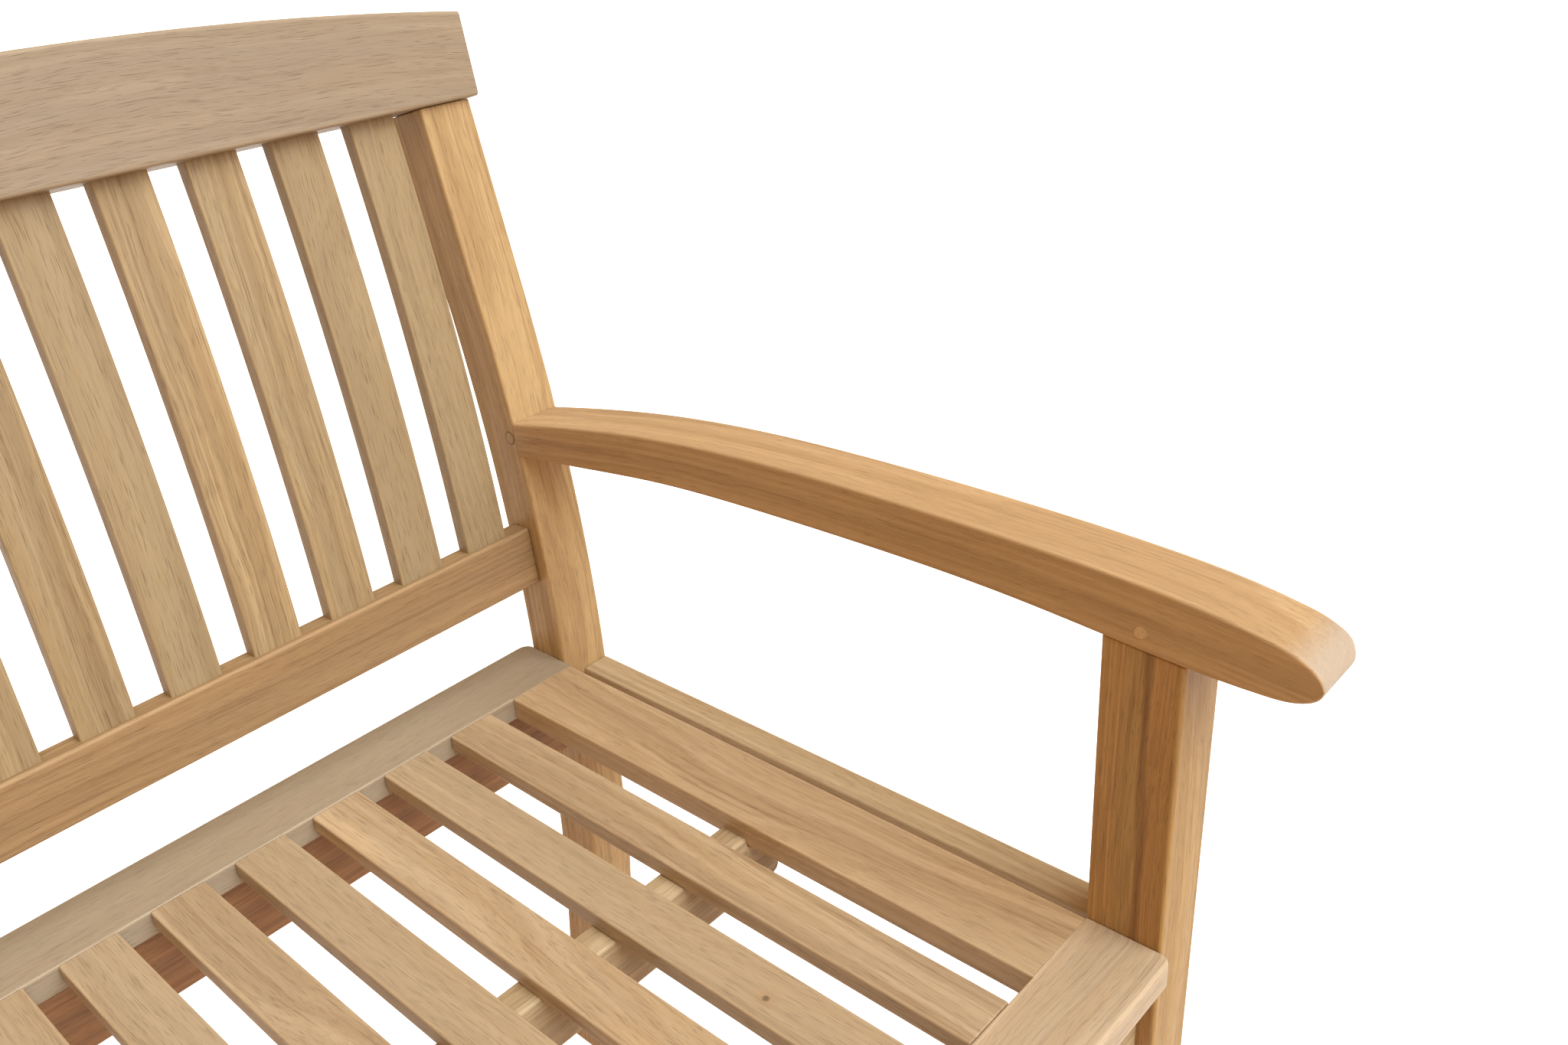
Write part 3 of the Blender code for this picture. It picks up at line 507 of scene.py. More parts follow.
def loft(name, rows, corners, seed):
    """A closed board through its rows, with the grain running along it.

    corners is one radius, or four in the order of ring_points; a row can have its own.
    """
    corners = corners if isinstance(corners, tuple) else (corners,) * 4
    chance = random.Random(seed)
    offset = Vector((chance.uniform(0, 40), chance.uniform(-0.03, 0.03), chance.uniform(0, 0.05)))
    tone = chance.random()
    shape = bmesh.new()
    grain = shape.verts.layers.float_vector.new(GRAIN)
    board, edge_highlight, end = (shape.verts.layers.float.new(label) for label in (BOARD, EDGE_HIGHLIGHT, END))
    rings = []
    for row in rows:
        ring = []
        for a, b, highlight in ring_points(row.half_a, row.half_b, row.corners or corners):
            vert = shape.verts.new(row.centre + row.across * a + row.through * b)
            vert[grain] = Vector((row.distance, a, b)) + offset
            vert[board] = tone
            vert[edge_highlight] = highlight
            vert[end] = row.end if abs(a) < row.half_a - SIDE_SKIN else 0.0
            ring.append(vert)
        rings.append(ring)
    size = len(rings[0])
    for first, second in zip(rings, rings[1:]):
        for index in range(size):
            after = (index + 1) % size
            shape.faces.new((first[index], first[after], second[after], second[index]))
    for ring, row in ((rings[0], rows[0]), (rings[-1], rows[-1])):
        close_end(shape, ring, row, (grain, board, edge_highlight, end), offset, tone)
    for face in shape.faces:
        face.smooth = True
    bmesh.ops.recalc_face_normals(shape, faces=shape.faces)
    mesh = bpy.data.meshes.new(name)
    shape.to_mesh(mesh)
    shape.free()
    return mesh


def close_end(shape, ring, row, layers, offset, tone):
    """Cap a board's end with a smaller ring and a flat face, so that the cap stays flat."""
    grain, board, edge_highlight, end = layers
    inner = []
    for vert in ring:
        copy = shape.verts.new(row.centre.lerp(vert.co, 0.9))
        copy[grain] = (Vector((row.distance, 0, 0)) + offset).lerp(vert[grain], 0.9)
        copy[board] = tone
        copy[edge_highlight] = 0.0
        copy[end] = 1.0
        inner.append(copy)
    size = len(ring)
    for index in range(size):
        after = (index + 1) % size
        shape.faces.new((ring[index], ring[after], inner[after], inner[index]))
    shape.faces.new(inner)


def board(name, total, row_at, corners, seed, spacing, end_radius=None, extra=()):
    """A board of a given length, whose rows row_at gives, with rounded ends."""
    rows = []
    for distance, inset in stations(total, end_radius or sizes().end_edge, spacing, extra):
        row = row_at(distance)
        row.half_a -= inset
        row.half_b -= inset
        rows.append(row)
    return loft(name, rows, corners, seed)


def straight_board(name, start, end, axis, corners, seed, end_radius=None, reach=None, extra=()):
    """A board along one axis between two corner points; reach can change a row on the way."""
    start, end = Vector(start), Vector(end)
    directions = {0: ((0, 1, 0), (0, 0, 1)), 1: ((1, 0, 0), (0, 0, 1)), 2: ((1, 0, 0), (0, 1, 0))}
    across, through = (Vector(direction) for direction in directions[axis])
    along = Vector([1.0 if index == axis else 0.0 for index in range(3)])
    middle = (start + end) / 2
    half_a = abs((end - start).dot(across)) / 2
    half_b = abs((end - start).dot(through)) / 2
    total = (end - start).dot(along)

    def row_at(distance):
        centre = middle + along * (distance - total / 2)
        row = Row(centre, across, through, half_a, half_b, distance)
        if reach:
            reach(row, total)
        return row

    return board(name, total, row_at, corners, seed, 0.03, end_radius, extra)


def finish_piece(name, mesh, material, nodes=None):
    """Make the mesh a piece that stands for its CAD nodes, or for the one of its own name."""
    piece = link_new(name, mesh)
    mesh.materials.clear()
    mesh.materials.append(material)
    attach(piece, BODY)
    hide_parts(*(nodes or [name]))
    return piece


# ---- the bench's own curves
def post_face(height):
    """Y of the rear leg's front face at a height above the floor."""
    size = sizes()
    face = FRONT_FACE + size.post_front
    bow_end = size.bow_start + size.post_lean * size.bow_radius
    if height > bow_end:
        bowed = size.post_lean * (bow_end - size.bow_start) / 2
        return face + bowed + size.post_lean * (height - bow_end)
    if height > size.bow_start:
        return face + (height - size.bow_start) ** 2 / (2 * size.bow_radius)
    drop = max(0.0, size.splay_start - height)
    bend = min(drop, size.foot_splay * size.splay_radius)
    return face + bend**2 / (2 * size.splay_radius) + size.foot_splay * (drop - bend)


def slope_of(curve, height):
    return (curve(height + FIT) - curve(height - FIT)) / (2 * FIT)


def leaning(angle):
    """Up and rearwards directions of a board that leans back by an angle."""
    up = Vector((0.0, math.sin(angle), math.cos(angle)))
    rear = Vector((0.0, math.cos(angle), -math.sin(angle)))
    return up, rear


def crest_frame():
    size = sizes()
    angle = math.atan(size.post_lean)
    face = post_face(size.crest_bottom) - size.crest_proud / math.cos(angle)
    return Vector((0.0, face, size.crest_bottom)), *leaning(angle)


def lower_rail_frame():
    size = sizes()
    corner = Vector((0.0, FRONT_FACE + size.rail_front, size.rail_bottom))
    return corner, *leaning(math.atan(size.slat_slope))


def slat_face(height):
    """Y of a back slat's front face at a height above the floor."""
    size = sizes()
    corner, up, rear = lower_rail_frame()
    foot = corner + up * size.rail_height + rear * size.slat_setback
    rise = height - foot.z
    return foot.y + size.slat_slope * rise + rise**2 / (2 * size.slat_radius)


class SmoothCurve:
    """The natural cubic spline through (place, value) points."""

    def __init__(self, points):
        self.points = sorted(points)
        count = len(self.points)
        steps = [self.points[at + 1][0] - self.points[at][0] for at in range(count - 1)]
        slopes = [(self.points[at + 1][1] - self.points[at][1]) / steps[at] for at in range(count - 1)]
        ratio, known = [0.0] * count, [0.0] * count
        for at in range(1, count - 1):
            pivot = 2 * (steps[at - 1] + steps[at]) - steps[at - 1] * ratio[at - 1]
            ratio[at] = steps[at] / pivot
            known[at] = (6 * (slopes[at] - slopes[at - 1]) - steps[at - 1] * known[at - 1]) / pivot
        self.bends = [0.0] * count
        for at in range(count - 2, 0, -1):
            self.bends[at] = known[at] - ratio[at] * self.bends[at + 1]

    def at(self, place):
        index = sum(1 for known, _ in self.points[1:-1] if known <= place)
        (x0, y0), (x1, y1) = self.points[index : index + 2]
        m0, m1 = self.bends[index : index + 2]
        step = x1 - x0
        far, near = place - x0, x1 - place
        cubic = (m0 * near**3 + m1 * far**3) / (6 * step)
        return cubic + (y0 / step - m0 * step / 6) * near + (y1 / step - m1 * step / 6) * far


# The arm from the side: place behind the front leg's face, and height above the seat. The nose is a
# half ellipse on the end of these two lines.
ARM_TOP = SmoothCurve(
    (
        (0.492, 0.1880),
        (0.400, 0.2042),
        (0.300, 0.2145),
        (0.200, 0.2174),
        (0.100, 0.2164),
        (0.030, 0.2133),
        (-0.020, 0.2079),
        (-0.062, 0.1985),
    )
)
ARM_UNDERSIDE = SmoothCurve(
    (
        (0.485, 0.1652),
        (0.430, 0.1708),
        (0.350, 0.1796),
        (0.260, 0.1835),
        (0.160, 0.1843),
        (0.100, 0.1828),
        (0.020, 0.1770),
        (-0.020, 0.1749),
        (-0.062, 0.1757),
    )
)
ARM_NOSE_START = -0.038
ARM_NOSE_LENGTH = 0.024
ARM_NOSE_CORNER = 0.006


def arm_section(place):
    """Middle height and half height of the arm at a place behind the front leg's face."""
    top, bottom = ARM_TOP.at(place), ARM_UNDERSIDE.at(place)
    middle, half = (top + bottom) / 2, (top - bottom) / 2
    along_nose = min(1.0, max(0.0, (ARM_NOSE_START - place) / ARM_NOSE_LENGTH))
    return SEAT_TOP + middle, half * (1.0 - along_nose**2.5) ** 0.45


# ---- repeated boards
def stored(graph, geometry, domain, kind, name, value):
    """The geometry with a value stored on it by name."""
    settings = {"domain": domain, "data_type": kind}
    values = {"Geometry": geometry, "Name": name, "Value": value}
    return graph.node("GeometryNodeStoreNamedAttribute", settings, values)[0]


def named(graph, kind, name):
    return graph.node("GeometryNodeInputNamedAttribute", {"data_type": kind}, {"Name": name})[0]


def slat_row_tree():
    """Geometry Nodes: copies of one board along a line, each with its own cut of the grain."""
    tree = bpy.data.node_groups.get("row_of_slats")
    if tree:
        return tree
    tree = bpy.data.node_groups.new("row_of_slats", "GeometryNodeTree")
    face = tree.interface
    face.new_socket("Geometry", in_out="INPUT", socket_type="NodeSocketGeometry")
    for label, kind in (
        ("Pattern", "NodeSocketObject"),
        ("Count", "NodeSocketInt"),
        ("First", "NodeSocketVector"),
        ("Pitch", "NodeSocketVector"),
        ("Seed", "NodeSocketInt"),
        ("Unevenness", "NodeSocketFloat"),
        ("Wood", "NodeSocketMaterial"),
    ):
        face.new_socket(label, in_out="INPUT", socket_type=kind)
    face.new_socket("Geometry", in_out="OUTPUT", socket_type="NodeSocketGeometry")
    graph = Graph(tree)
    _, pattern, count, first, pitch, seed, unevenness, finish = graph.node("NodeGroupInput")[:8]
    board = graph.node("GeometryNodeObjectInfo", {}, {"Object": pattern})[4]
    values = {"Count": count, "Start Location": first, "Offset": pitch}
    line = graph.node("GeometryNodeMeshLine", {"mode": "OFFSET"}, values)[0]
    single = {"data_type": "FLOAT"}
    lift = graph.node("FunctionNodeRandomValue", single, {2: -1.0, 3: 0.0, "Seed": seed})[1]
    offset = graph.vector(0.0, 0.0, lift * unevenness)
    line = graph.node("GeometryNodeSetPosition", {}, {"Geometry": line, "Offset": offset})[0]
    copies = graph.node("GeometryNodeInstanceOnPoints", {}, {"Points": line, "Instance": board})[0]
    cut = graph.node(
        "FunctionNodeRandomValue",
        {"data_type": "FLOAT_VECTOR"},
        {0: (0.0, 0.0, 0.0), 1: (60.0, 4.0, 4.0), "Seed": seed},
    )[0]
    tone = graph.node("FunctionNodeRandomValue", single, {2: 0.0, 3: 1.0, "Seed": seed})[1]
    copies = stored(graph, copies, "INSTANCE", "FLOAT_VECTOR", "cut", cut)
    copies = stored(graph, copies, "INSTANCE", "FLOAT", "tone", tone)
    solid = graph.node("GeometryNodeRealizeInstances", {}, {"Geometry": copies})[0]
    shifted = graph.moved(named(graph, "FLOAT_VECTOR", GRAIN), named(graph, "FLOAT_VECTOR", "cut"))
    solid = stored(graph, solid, "POINT", "FLOAT_VECTOR", GRAIN, shifted)
    solid = stored(graph, solid, "POINT", "FLOAT", BOARD, named(graph, "FLOAT", "tone"))
    solid = graph.node("GeometryNodeSetMaterial", {}, {"Geometry": solid, "Material": finish})[0]
    graph.node("NodeGroupOutput", {}, {"Geometry": solid})
    return tree


def slat_row(name, pattern_mesh, count, span, seed, unevenness, finish):
    """One mesh of all the slats of a row, spread over a span between the outermost centres."""
    tree = slat_row_tree()
    pattern = link_new(name + "_pattern", pattern_mesh)
    holder = link_new(name + "_row", bpy.data.meshes.new(name + "_row"))
    modifier = holder.modifiers.new("row", "NODES")
    modifier.node_group = tree
    values = {
        "Pattern": pattern,
        "Count": count,
        "First": (-span / 2, 0.0, 0.0),
        "Pitch": (span / (count - 1), 0.0, 0.0),
        "Seed": seed,
        "Unevenness": unevenness,
        "Wood": finish,
    }
    for item in tree.interface.items_tree:
        if item.in_out == "INPUT" and item.name in values:
            modifier[item.identifier] = values[item.name]
    holder.update_tag()
    bpy.context.view_layer.update()
    graph = bpy.context.evaluated_depsgraph_get()
    mesh = bpy.data.meshes.new_from_object(holder.evaluated_get(graph))
    mesh.name = name
    for item in (holder, pattern):
        bpy.data.objects.remove(item, do_unlink=True)
    if not mesh.polygons:
        raise RuntimeError("the row of slats came out empty: " + name)
    return mesh


# ---- operators
class BenchOperator:
    bl_options = {"REGISTER", "UNDO"}

    def execute(self, context):
        self.build()
        return {"FINISHED"}


class BENCH_OT_front_legs(BenchOperator, bpy.types.Operator):
    """Square front legs, cut at the top to the arm's underside"""

    bl_idname = "bench.front_legs"
    bl_label = "Front Legs"

    def build(self):
        size = sizes()
        tone = colours().leg
        finish = wood("leg_wood", tone, figure=0.45, streak=0.25, grey=0.06, stripes=LEG_STRIPES)
        for name, seed, _, bottom, top in both_sides("front_leg_", 11):
            shoulder = (size.shoulder_front + size.shoulder_rear) / 2
            rise = (size.shoulder_rear - size.shoulder_front) / (top.y - bottom.y)

            def reach(row, total):
                row.through = row.through + Vector((0, 0, rise * easing(total - row.distance)))

            end_point = (top.x, top.y, shoulder)
            mesh = straight_board(name, bottom, end_point, 2, size.leg_edge, seed, reach=reach)
            finish_piece(name, mesh, finish)


class BENCH_OT_rear_legs(BenchOperator, bpy.types.Operator):
    """Rear legs that bend back above the seat and splay at the foot"""

    bl_idname = "bench.rear_legs"
    bl_label = "Rear Legs"

    def build(self):
        size = sizes()
        corner, _, rear = crest_frame()
        top = corner.z + rear.z * size.crest_proud - FIT
        finish = wood("post_wood", colours().post, figure=0.50, streak=0.16, grey=0.04)
        for name, seed, side, *_ in both_sides("rear_leg_", 21):

            def row_at(height):
                incline = slope_of(post_face, min(max(height, FIT), top - FIT))
                below = min(1.0, max(0.0, 1.0 - height / SEAT_TOP))
                depth = size.post_depth + (size.foot_depth - size.post_depth) * below
                depth *= math.hypot(1.0, incline)
                drop = -incline / (1 + incline * incline) * easing(top - height)
                through = Vector((0.0, 1.0 + drop * incline, drop))
                face = Vector((side * LEG_CENTRE, post_face(height), height))
                centre = face + through * depth / 2
                return Row(centre, ACROSS, through, LEG_WIDTH / 2, depth / 2, height)

            mesh = board(name, top, row_at, size.leg_edge, seed, 0.014)
            finish_piece(name, mesh, finish)


class BENCH_OT_arms(BenchOperator, bpy.types.Operator):
    """Shaped arms, from the post's face to a rounded nose"""

    bl_idname = "bench.arms"
    bl_label = "Arms"
    tip = 0.0009  # half the thickness at the very end of the nose
    joint = 0.488  # from the front leg's face to the post, roughly
    upright = 0.40  # stations are upright to here, and lean with the post a little further on
    lean_room = 0.08
    nose_lead = 0.004  # end grain fades in this far behind the nose's start
    nose_fade = 0.014

    def build(self):
        size = sizes()
        finish = wood("arm_wood", colours().arm, figure=0.28, streak=0.16, grey=0.04)
        for name, seed, side, bottom, top in both_sides("arm_", 31):
            rows = []
            for place in self.places():
                middle, half = arm_section(place)
                room = max(0.0, min(1.0, (place - self.upright) / self.lean_room))
                through = Vector((0.0, slope_of(post_face, middle) * room, 1.0))
                cut = corner_cut(ARM_NOSE_CORNER, place - ARM_NOSE_START + ARM_NOSE_LENGTH)
                centre = Vector(((bottom.x + top.x - side * cut) / 2, FRONT_FACE + place, middle))
                nose = max(0.0, min(1.0, (ARM_NOSE_START - self.nose_lead - place) / self.nose_fade))
                half_width = (top.x - bottom.x - cut) / 2
                half = max(half, self.tip)
                rows.append(Row(centre, ACROSS, through, half_width, half, -place, nose))
            mesh = loft(name, rows, side_corners(side, size.arm_outer_edge, size.arm_edge), seed)
            finish_piece(name, mesh, finish)

    def places(self):
        """Stations from the post to the nose, close together where the nose is round."""
        rear_middle, _ = arm_section(self.joint)
        rear = post_face(rear_middle) - FRONT_FACE - FIT
        long_run = [rear, rear - 0.0006]
        long_run += [rear + (ARM_NOSE_START - rear) * step / 44 for step in range(1, 44)]
        turns = [step / 18 * math.pi / 2 for step in range(19)]
        return long_run + [ARM_NOSE_START - ARM_NOSE_LENGTH * math.sin(turn) for turn in turns]


class BENCH_OT_pegs(BenchOperator, bpy.types.Operator):
    """Dowels that lock the arm's joints, sanded almost flush"""

    bl_idname = "bench.pegs"
    bl_label = "Pegs"
    proud = 0.00015

    def build(self):
        darker = [value * 0.75 for value in colours().post]
        for kind, tone, outline in (("arm_peg", colours().arm, 0.4), ("post_peg", darker, 1.0)):
            radius = (high(kind + "_right").z - low(kind + "_right").z) / 2
            finish = peg_wood(kind + "_wood", radius, tone, outline)
            for name, _, side, bottom, top in both_sides(kind + "_", 0):
                middle = (bottom + top) / 2
                half = (top.x - bottom.x) / 2
                rows = []
                for place in (-half - self.proud, -half, 0.0, half):
                    centre = middle + Vector((side * place, 0, 0))
                    inset = 0.0002 if place < -half else 0.0
                    rows.append(Row(centre, REARWARDS, UP, radius - inset, radius - inset, place))
                mesh = loft(name, rows, radius, 41)
                self.centre_grain(mesh, middle)
                finish_piece(name, mesh, finish)

    def centre_grain(self, mesh, middle):
        """Count the grain from the dowel's own axis, so that its rim can be found."""
        values = mesh.attributes[GRAIN].data
        for vert in mesh.vertices:
            values[vert.index].vector = vert.co - middle


class BENCH_OT_crest(BenchOperator, bpy.types.Operator):
    """Crest rail, level in the middle and falling to each end"""

    bl_idname = "bench.crest"
    bl_label = "Crest Rail"
    play = 0.00004
    flare_length = 0.06

    def build(self):
        size = sizes()
        corner, up, rear = crest_frame()
        half = high("crest_rail").x - self.play
        half_b = size.crest_thickness / 2 - self.play

        def row_at(distance):
            x = distance - half
            fall = max(0.0, abs(x) - size.crest_shoulder) ** 2 / (2 * size.crest_radius)
            height = size.crest_height - fall
            flare = math.copysign(size.crest_flare * max(0.0, 1.0 - (half - abs(x)) / self.flare_length), x)
            lean_out = up + Vector((flare / height, 0, 0))
            foot = corner + Vector((x - flare, 0, 0)) + rear * size.crest_thickness / 2
            centre = foot + lean_out * height / 2
            return Row(centre, lean_out, rear, height / 2 - self.play, half_b, distance)

        knots = (((0.343, 0.280, 0.853), 0.0022),)
        tone = colours().crest
        finish = wood("crest_wood", tone, figure=0.45, streak=0.10, grey=0.45, knots=knots)
        mesh = board("crest_rail", 2 * half, row_at, size.crest_edge, 51, 0.02)
        finish_piece("crest_rail", mesh, finish)


class BENCH_OT_lower_rail(BenchOperator, bpy.types.Operator):
    """Leaning rail that holds the feet of the back slats"""

    bl_idname = "bench.lower_rail"
    bl_label = "Lower Back Rail"

    def build(self):
        size = sizes()
        corner, up, rear = lower_rail_frame()
        total = 2 * (LEG_INNER - FIT)
        half_a, half_b = size.rail_height / 2, size.rail_thickness / 2
        middle = corner + up * half_a + rear * half_b

        def row_at(distance):
            return Row(middle + ACROSS * (distance - total / 2), up, rear, half_a, half_b, distance)

        finish = wood("rail_wood", colours().rail, figure=0.5, streak=0.25, grey=0.40)
        mesh = board("lower_back_rail", total, row_at, size.board_edge, 52, 0.03)
        finish_piece("lower_back_rail", mesh, finish)


class BENCH_OT_back_slats(BenchOperator, bpy.types.Operator):
    """Bowed slats between the lower rail and the crest rail"""

    bl_idname = "bench.back_slats"
    bl_label = "Back Slats"

    def build(self):
        size = sizes()
        nodes = [f"back_slat_{number:02d}" for number in range(1, size.back_count + 1)]
        foot, head = low(nodes[0]).z, high(nodes[0]).z
        half_a, half_b = size.slat_width / 2, size.slat_thickness / 2

        def row_at(distance):
            height = foot + distance
            _, rear = leaning(math.atan(slope_of(slat_face, height)))
            centre = Vector((0, slat_face(height), height)) + rear * half_b
            return Row(centre, ACROSS, rear, half_a, half_b, distance)

        pattern = board("back_slat", head - foot, row_at, size.slat_edge, 61, 0.012)
        span = 2 * (LEG_INNER - size.back_gap) - size.slat_width
        knots = (((0.5204, 0.2308, 0.5721), 0.0016),)
        tone = colours().slat
        finish = wood("back_slat_wood", tone, figure=0.60, streak=0.40, grey=0.45, knots=knots)
        mesh = slat_row("back_slats", pattern, size.back_count, span, 3, 0.0, finish)
        finish_piece("back_slats", mesh, finish, nodes)


class BENCH_OT_seat_slats(BenchOperator, bpy.types.Operator):
    """Thin slats of the seat, flush with its boards"""

    bl_idname = "bench.seat_slats"
    bl_label = "Seat Slats"
    uneven = 0.0002

    def build(self):
        size = sizes()
        nodes = [f"seat_slat_{number:02d}" for number in range(1, size.seat_count + 1)]
        thickness = high(nodes[0]).z - low(nodes[0]).z
        front, rear = high("seat_front_rail").y + FIT, low("seat_rear_rail").y - FIT
        half = size.seat_slat_width / 2
        start, end = (-half, front, SEAT_TOP - thickness), (half, rear, SEAT_TOP)
        pattern = straight_board("seat_slat", start, end, 1, size.slat_edge, 71)
        span = 2 * (low("seat_side_board_right").x - size.seat_gap) - size.seat_slat_width
        knots = (((0.4075, -0.125, 0.430), 0.0028),)
        tone = colours().seat
        finish = wood("seat_slat_wood", tone, figure=0.45, streak=0.35, grey=0.40, knots=knots)
        mesh = slat_row("seat_slats", pattern, size.seat_count, span, 8, self.uneven, finish)
        finish_piece("seat_slats", mesh, finish, nodes)


class BENCH_OT_seat_boards(BenchOperator, bpy.types.Operator):
    """Front, rear and side boards of the seat panel, flush where they meet"""

    bl_idname = "bench.seat_boards"
    bl_label = "Seat Boards"
    tight = 0.0003
    inner_edge = 0.0013
    underside = 0.6  # lower edges and the front corners are this much tighter

    def build(self):
        self.cross_boards()
        self.side_boards()

    def cross_boards(self):
        size = sizes()
        opening = low("seat_side_board_right").x
        for name, outer_side, seed, tone, grey in (
            ("seat_front_rail", -1, 81, colours().seat_front, 0.30),
            ("seat_rear_rail", 1, 82, colours().seat_rear, 0.55),
        ):

            def reach(row, total):
                inner = self.inner_edge if abs(row.distance - total / 2) < opening else self.tight
                outer = size.seat_edge
                if outer_side < 0:
                    row.corners = (inner, outer, outer * self.underside, inner)
                else:
                    row.corners = (outer, inner, inner, outer * self.underside)
                corner = size.seat_corner * (self.underside if outer_side < 0 else 1.0)
                cut = corner_cut(corner, min(row.distance, total - row.distance))
                row.centre = row.centre - row.across * outer_side * cut / 2
                row.half_a -= cut / 2

            bottom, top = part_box(name)
            total = top.x - bottom.x
            round_end = [size.seat_corner * (1 - math.cos(step * math.pi / 16)) for step in range(2, 9)]
            joint = [total / 2 - opening - self.tight, total / 2 - opening + self.tight]
            near = round_end + joint
            extra = near + [total - distance for distance in near]
            mesh = straight_board(name, bottom, top, 0, size.seat_edge, seed, reach=reach, extra=extra)
            finish = wood(name + "_wood", tone, figure=0.35, streak=0.12, grey=grey)
            finish_piece(name, mesh, finish)

    def side_boards(self):
        size = sizes()
        front = high("seat_front_rail").y + self.tight / 3
        rear = low("seat_rear_rail").y - self.tight / 3
        finish = wood("seat_side_wood", colours().seat, figure=0.40, streak=0.15, grey=0.25)
        for name, seed, side, bottom, top in both_sides("seat_side_board_", 83):
            start, end = (bottom.x, front, bottom.z), (top.x, rear, top.z)
            corners = side_corners(side, size.seat_edge, self.inner_edge)
            mesh = straight_board(name, start, end, 1, corners, seed, self.tight)
            finish_piece(name, mesh, finish)


class BENCH_OT_batten(BenchOperator, bpy.types.Operator):
    """Batten on edge under the middle of the seat slats"""

    bl_idname = "bench.batten"
    bl_label = "Batten"
    step = 0.0005  # half the run of the step up between the side boards

    def build(self):
        size = sizes()
        bottom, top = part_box("seat_batten")
        under_board = low("seat_side_board_right").z - FIT
        notch = low("seat_side_board_right").x - FIT
        total = top.x - bottom.x
        near = [size.batten_corner * step / 6 for step in range(1, 7)]
        near += [total / 2 - notch - self.step, total / 2 - notch + self.step]
        extra = near + [total - distance for distance in near]

        def row_at(distance):
            x = distance - total / 2
            upper = top.z if abs(x) < notch else under_board
            lower = bottom.z + corner_cut(size.batten_corner, min(distance, total - distance))
            centre = Vector((x, (bottom.y + top.y) / 2, (upper + lower) / 2))
            return Row(centre, REARWARDS, UP, (top.y - bottom.y) / 2, (upper - lower) / 2, distance)

        finish = wood("batten_wood", colours().apron, figure=0.5, streak=0.2, grey=0.1)
        mesh = board("seat_batten", total, row_at, size.board_edge, 91, 0.03, extra=extra)
        finish_piece("seat_batten", mesh, finish)


class BENCH_OT_aprons(BenchOperator, bpy.types.Operator):
    """Rails under the seat, between the legs"""

    bl_idname = "bench.aprons"
    bl_label = "Aprons"

    def build(self):
        size = sizes()
        inner = LEG_INNER - FIT
        for name, seed, tone, slot in (
            ("front_apron", 92, colours().apron, "apron_wood"),
            # the rear apron's dark tone is painted shade from the seat above it
            ("rear_apron", 93, colours().hidden, "dark_wood"),
        ):
            bottom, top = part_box(name)
            start, end = (-inner, bottom.y, bottom.z), (inner, top.y, top.z)
            mesh = straight_board(name, start, end, 0, size.board_edge, seed)
            finish = wood(name + "_wood", tone, figure=0.5, streak=0.3, grey=0.1)
            finish_piece(name, mesh, finish)
        finish = wood("side_apron_wood", colours().apron, figure=0.4, streak=0.15, grey=0.2)
        front, rear = high("front_leg_right").y + FIT, FRONT_FACE + size.post_front - FIT
        for name, seed, _, bottom, top in both_sides("side_apron_", 94):
            start, end = (bottom.x, front, bottom.z), (top.x, rear, top.z)
            mesh = straight_board(name, start, end, 1, size.board_edge, seed)
            finish_piece(name, mesh, finish)


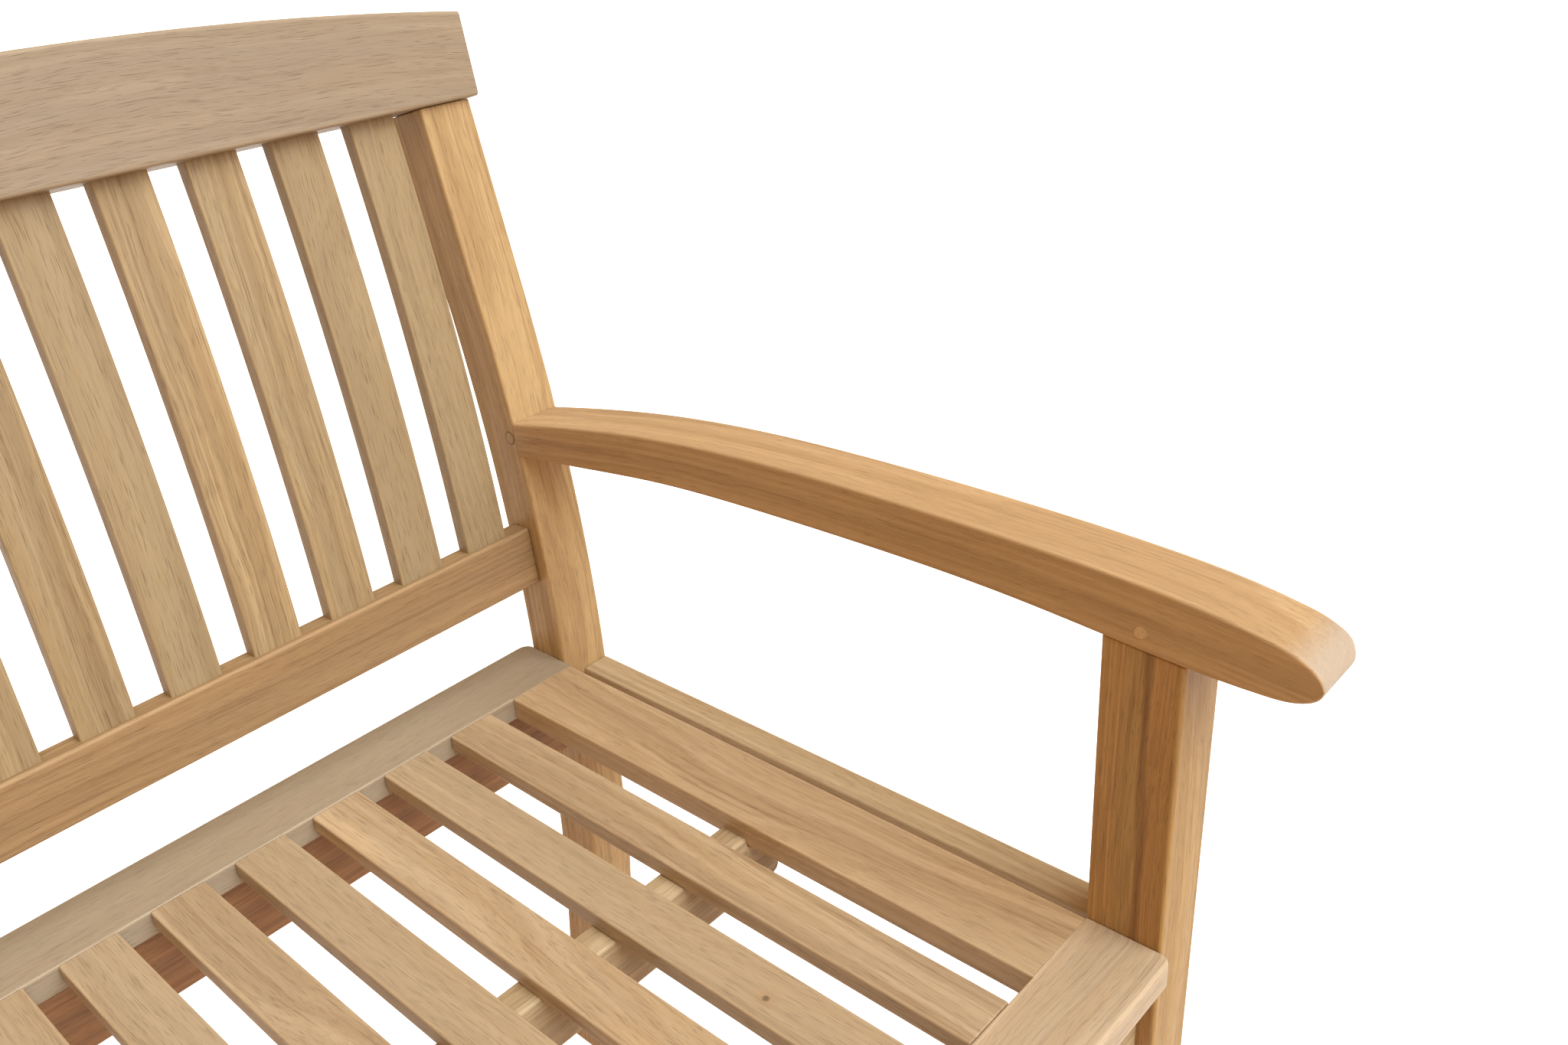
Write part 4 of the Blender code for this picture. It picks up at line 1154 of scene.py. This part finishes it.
class BENCH_OT_stage(BenchOperator, bpy.types.Operator):
    """Pale floor, soft studio light and the camera"""

    bl_idname = "bench.stage"
    bl_label = "Stage"

    def build(self):
        self.floor()
        self.surroundings()
        self.lamps()
        self.camera()
        bpy.context.scene.view_settings.view_transform = "Standard"

    def floor(self):
        shape = bmesh.new()
        bmesh.ops.create_grid(shape, x_segments=8, y_segments=8, size=40.0)
        mesh = bpy.data.meshes.new("studio_floor")
        shape.to_mesh(mesh)
        shape.free()
        material, _, shader = new_material("studio_floor")
        for label in ("Base Color", "Emission Color"):
            shader[label].default_value = opaque(colours().floor)
        for label in ("Roughness", "Emission Strength"):
            shader[label].default_value = 0.9
        mesh.materials.append(material)
        floor = link_new("studio_floor", mesh)
        floor.visible_diffuse = False

    def surroundings(self):
        """Even warm light from all round, in front of a white room."""
        world = bpy.data.worlds.new("studio")
        world.use_nodes = True
        graph = Graph(world.node_tree)
        seen = graph.node("ShaderNodeLightPath")[0]
        warm, white = (0.62, 0.395, 0.19, 1.0), (1.0, 1.0, 1.0, 1.0)
        colour = graph.mixed(seen, warm, white)
        graph.feed(world.node_tree.nodes["Background"].inputs["Color"], colour)
        bpy.context.scene.world = world

    def lamps(self):
        """Two large soft lamps on the right, one overhead and one low in front."""
        for name, energy, angle, tilt, turn in (
            ("overhead", 3.2, 50.0, 28.0, 1.0),
            ("front", 1.65, 45.0, 60.0, 8.0),
        ):
            lamp = bpy.data.lights.new(name, "SUN")
            lamp.energy = energy
            lamp.angle = math.radians(angle)
            lamp.color = (0.77, 0.90, 0.99)
            item = link_new(name, lamp)
            item.rotation_euler = (math.radians(tilt), 0.0, math.radians(turn))

    def camera(self):
        """A moderately wide lens in front of the bench's left half, looking down to the right."""
        turn, tilt, roll = (math.radians(value) for value in (-44.46, 26.40, -5.106))
        level = Vector((math.cos(turn), math.sin(turn), 0.0))
        ahead = Vector((-math.sin(turn), math.cos(turn), 0.0))
        forward = ahead * math.cos(tilt) - UP * math.sin(tilt)
        upright = level.cross(forward)
        right = math.cos(roll) * level + math.sin(roll) * upright
        up = math.cos(roll) * upright - math.sin(roll) * level
        lens = bpy.data.cameras.new("view")
        lens.sensor_width = 36.0
        lens.lens = 31.06
        lens.shift_x = 0.0435
        lens.clip_end = 200.0
        camera = link_new("view", lens)
        rotation = Matrix((right, up, -forward)).transposed().to_4x4()
        camera.matrix_world = Matrix.Translation((0.0429, -0.4909, 0.9626)) @ rotation
        bpy.context.scene.camera = camera


OPERATORS = tuple(BenchOperator.__subclasses__())  # in the order above


class BENCH_PT_panel(bpy.types.Panel):
    """Buttons for the bench's pieces"""

    bl_label = "Garden Bench"
    bl_idname = "BENCH_PT_panel"
    bl_space_type = "VIEW_3D"
    bl_region_type = "UI"
    bl_category = "Bench"

    def draw(self, context):
        for operator in OPERATORS:
            self.layout.operator(operator.bl_idname)


CLASSES = (BenchSizes, BenchColours, *OPERATORS, BENCH_PT_panel)


def register():
    for item in CLASSES:
        bpy.utils.register_class(item)
    bpy.types.Scene.bench_sizes = bpy.props.PointerProperty(type=BenchSizes)
    bpy.types.Scene.bench_colours = bpy.props.PointerProperty(type=BenchColours)


def unregister():
    del bpy.types.Scene.bench_colours
    del bpy.types.Scene.bench_sizes
    for item in reversed(CLASSES):
        bpy.utils.unregister_class(item)


def main():
    register()
    for operator in OPERATORS:
        group, action = operator.bl_idname.split(".")
        getattr(getattr(bpy.ops, group), action)()


if __name__ == "__main__":
    main()
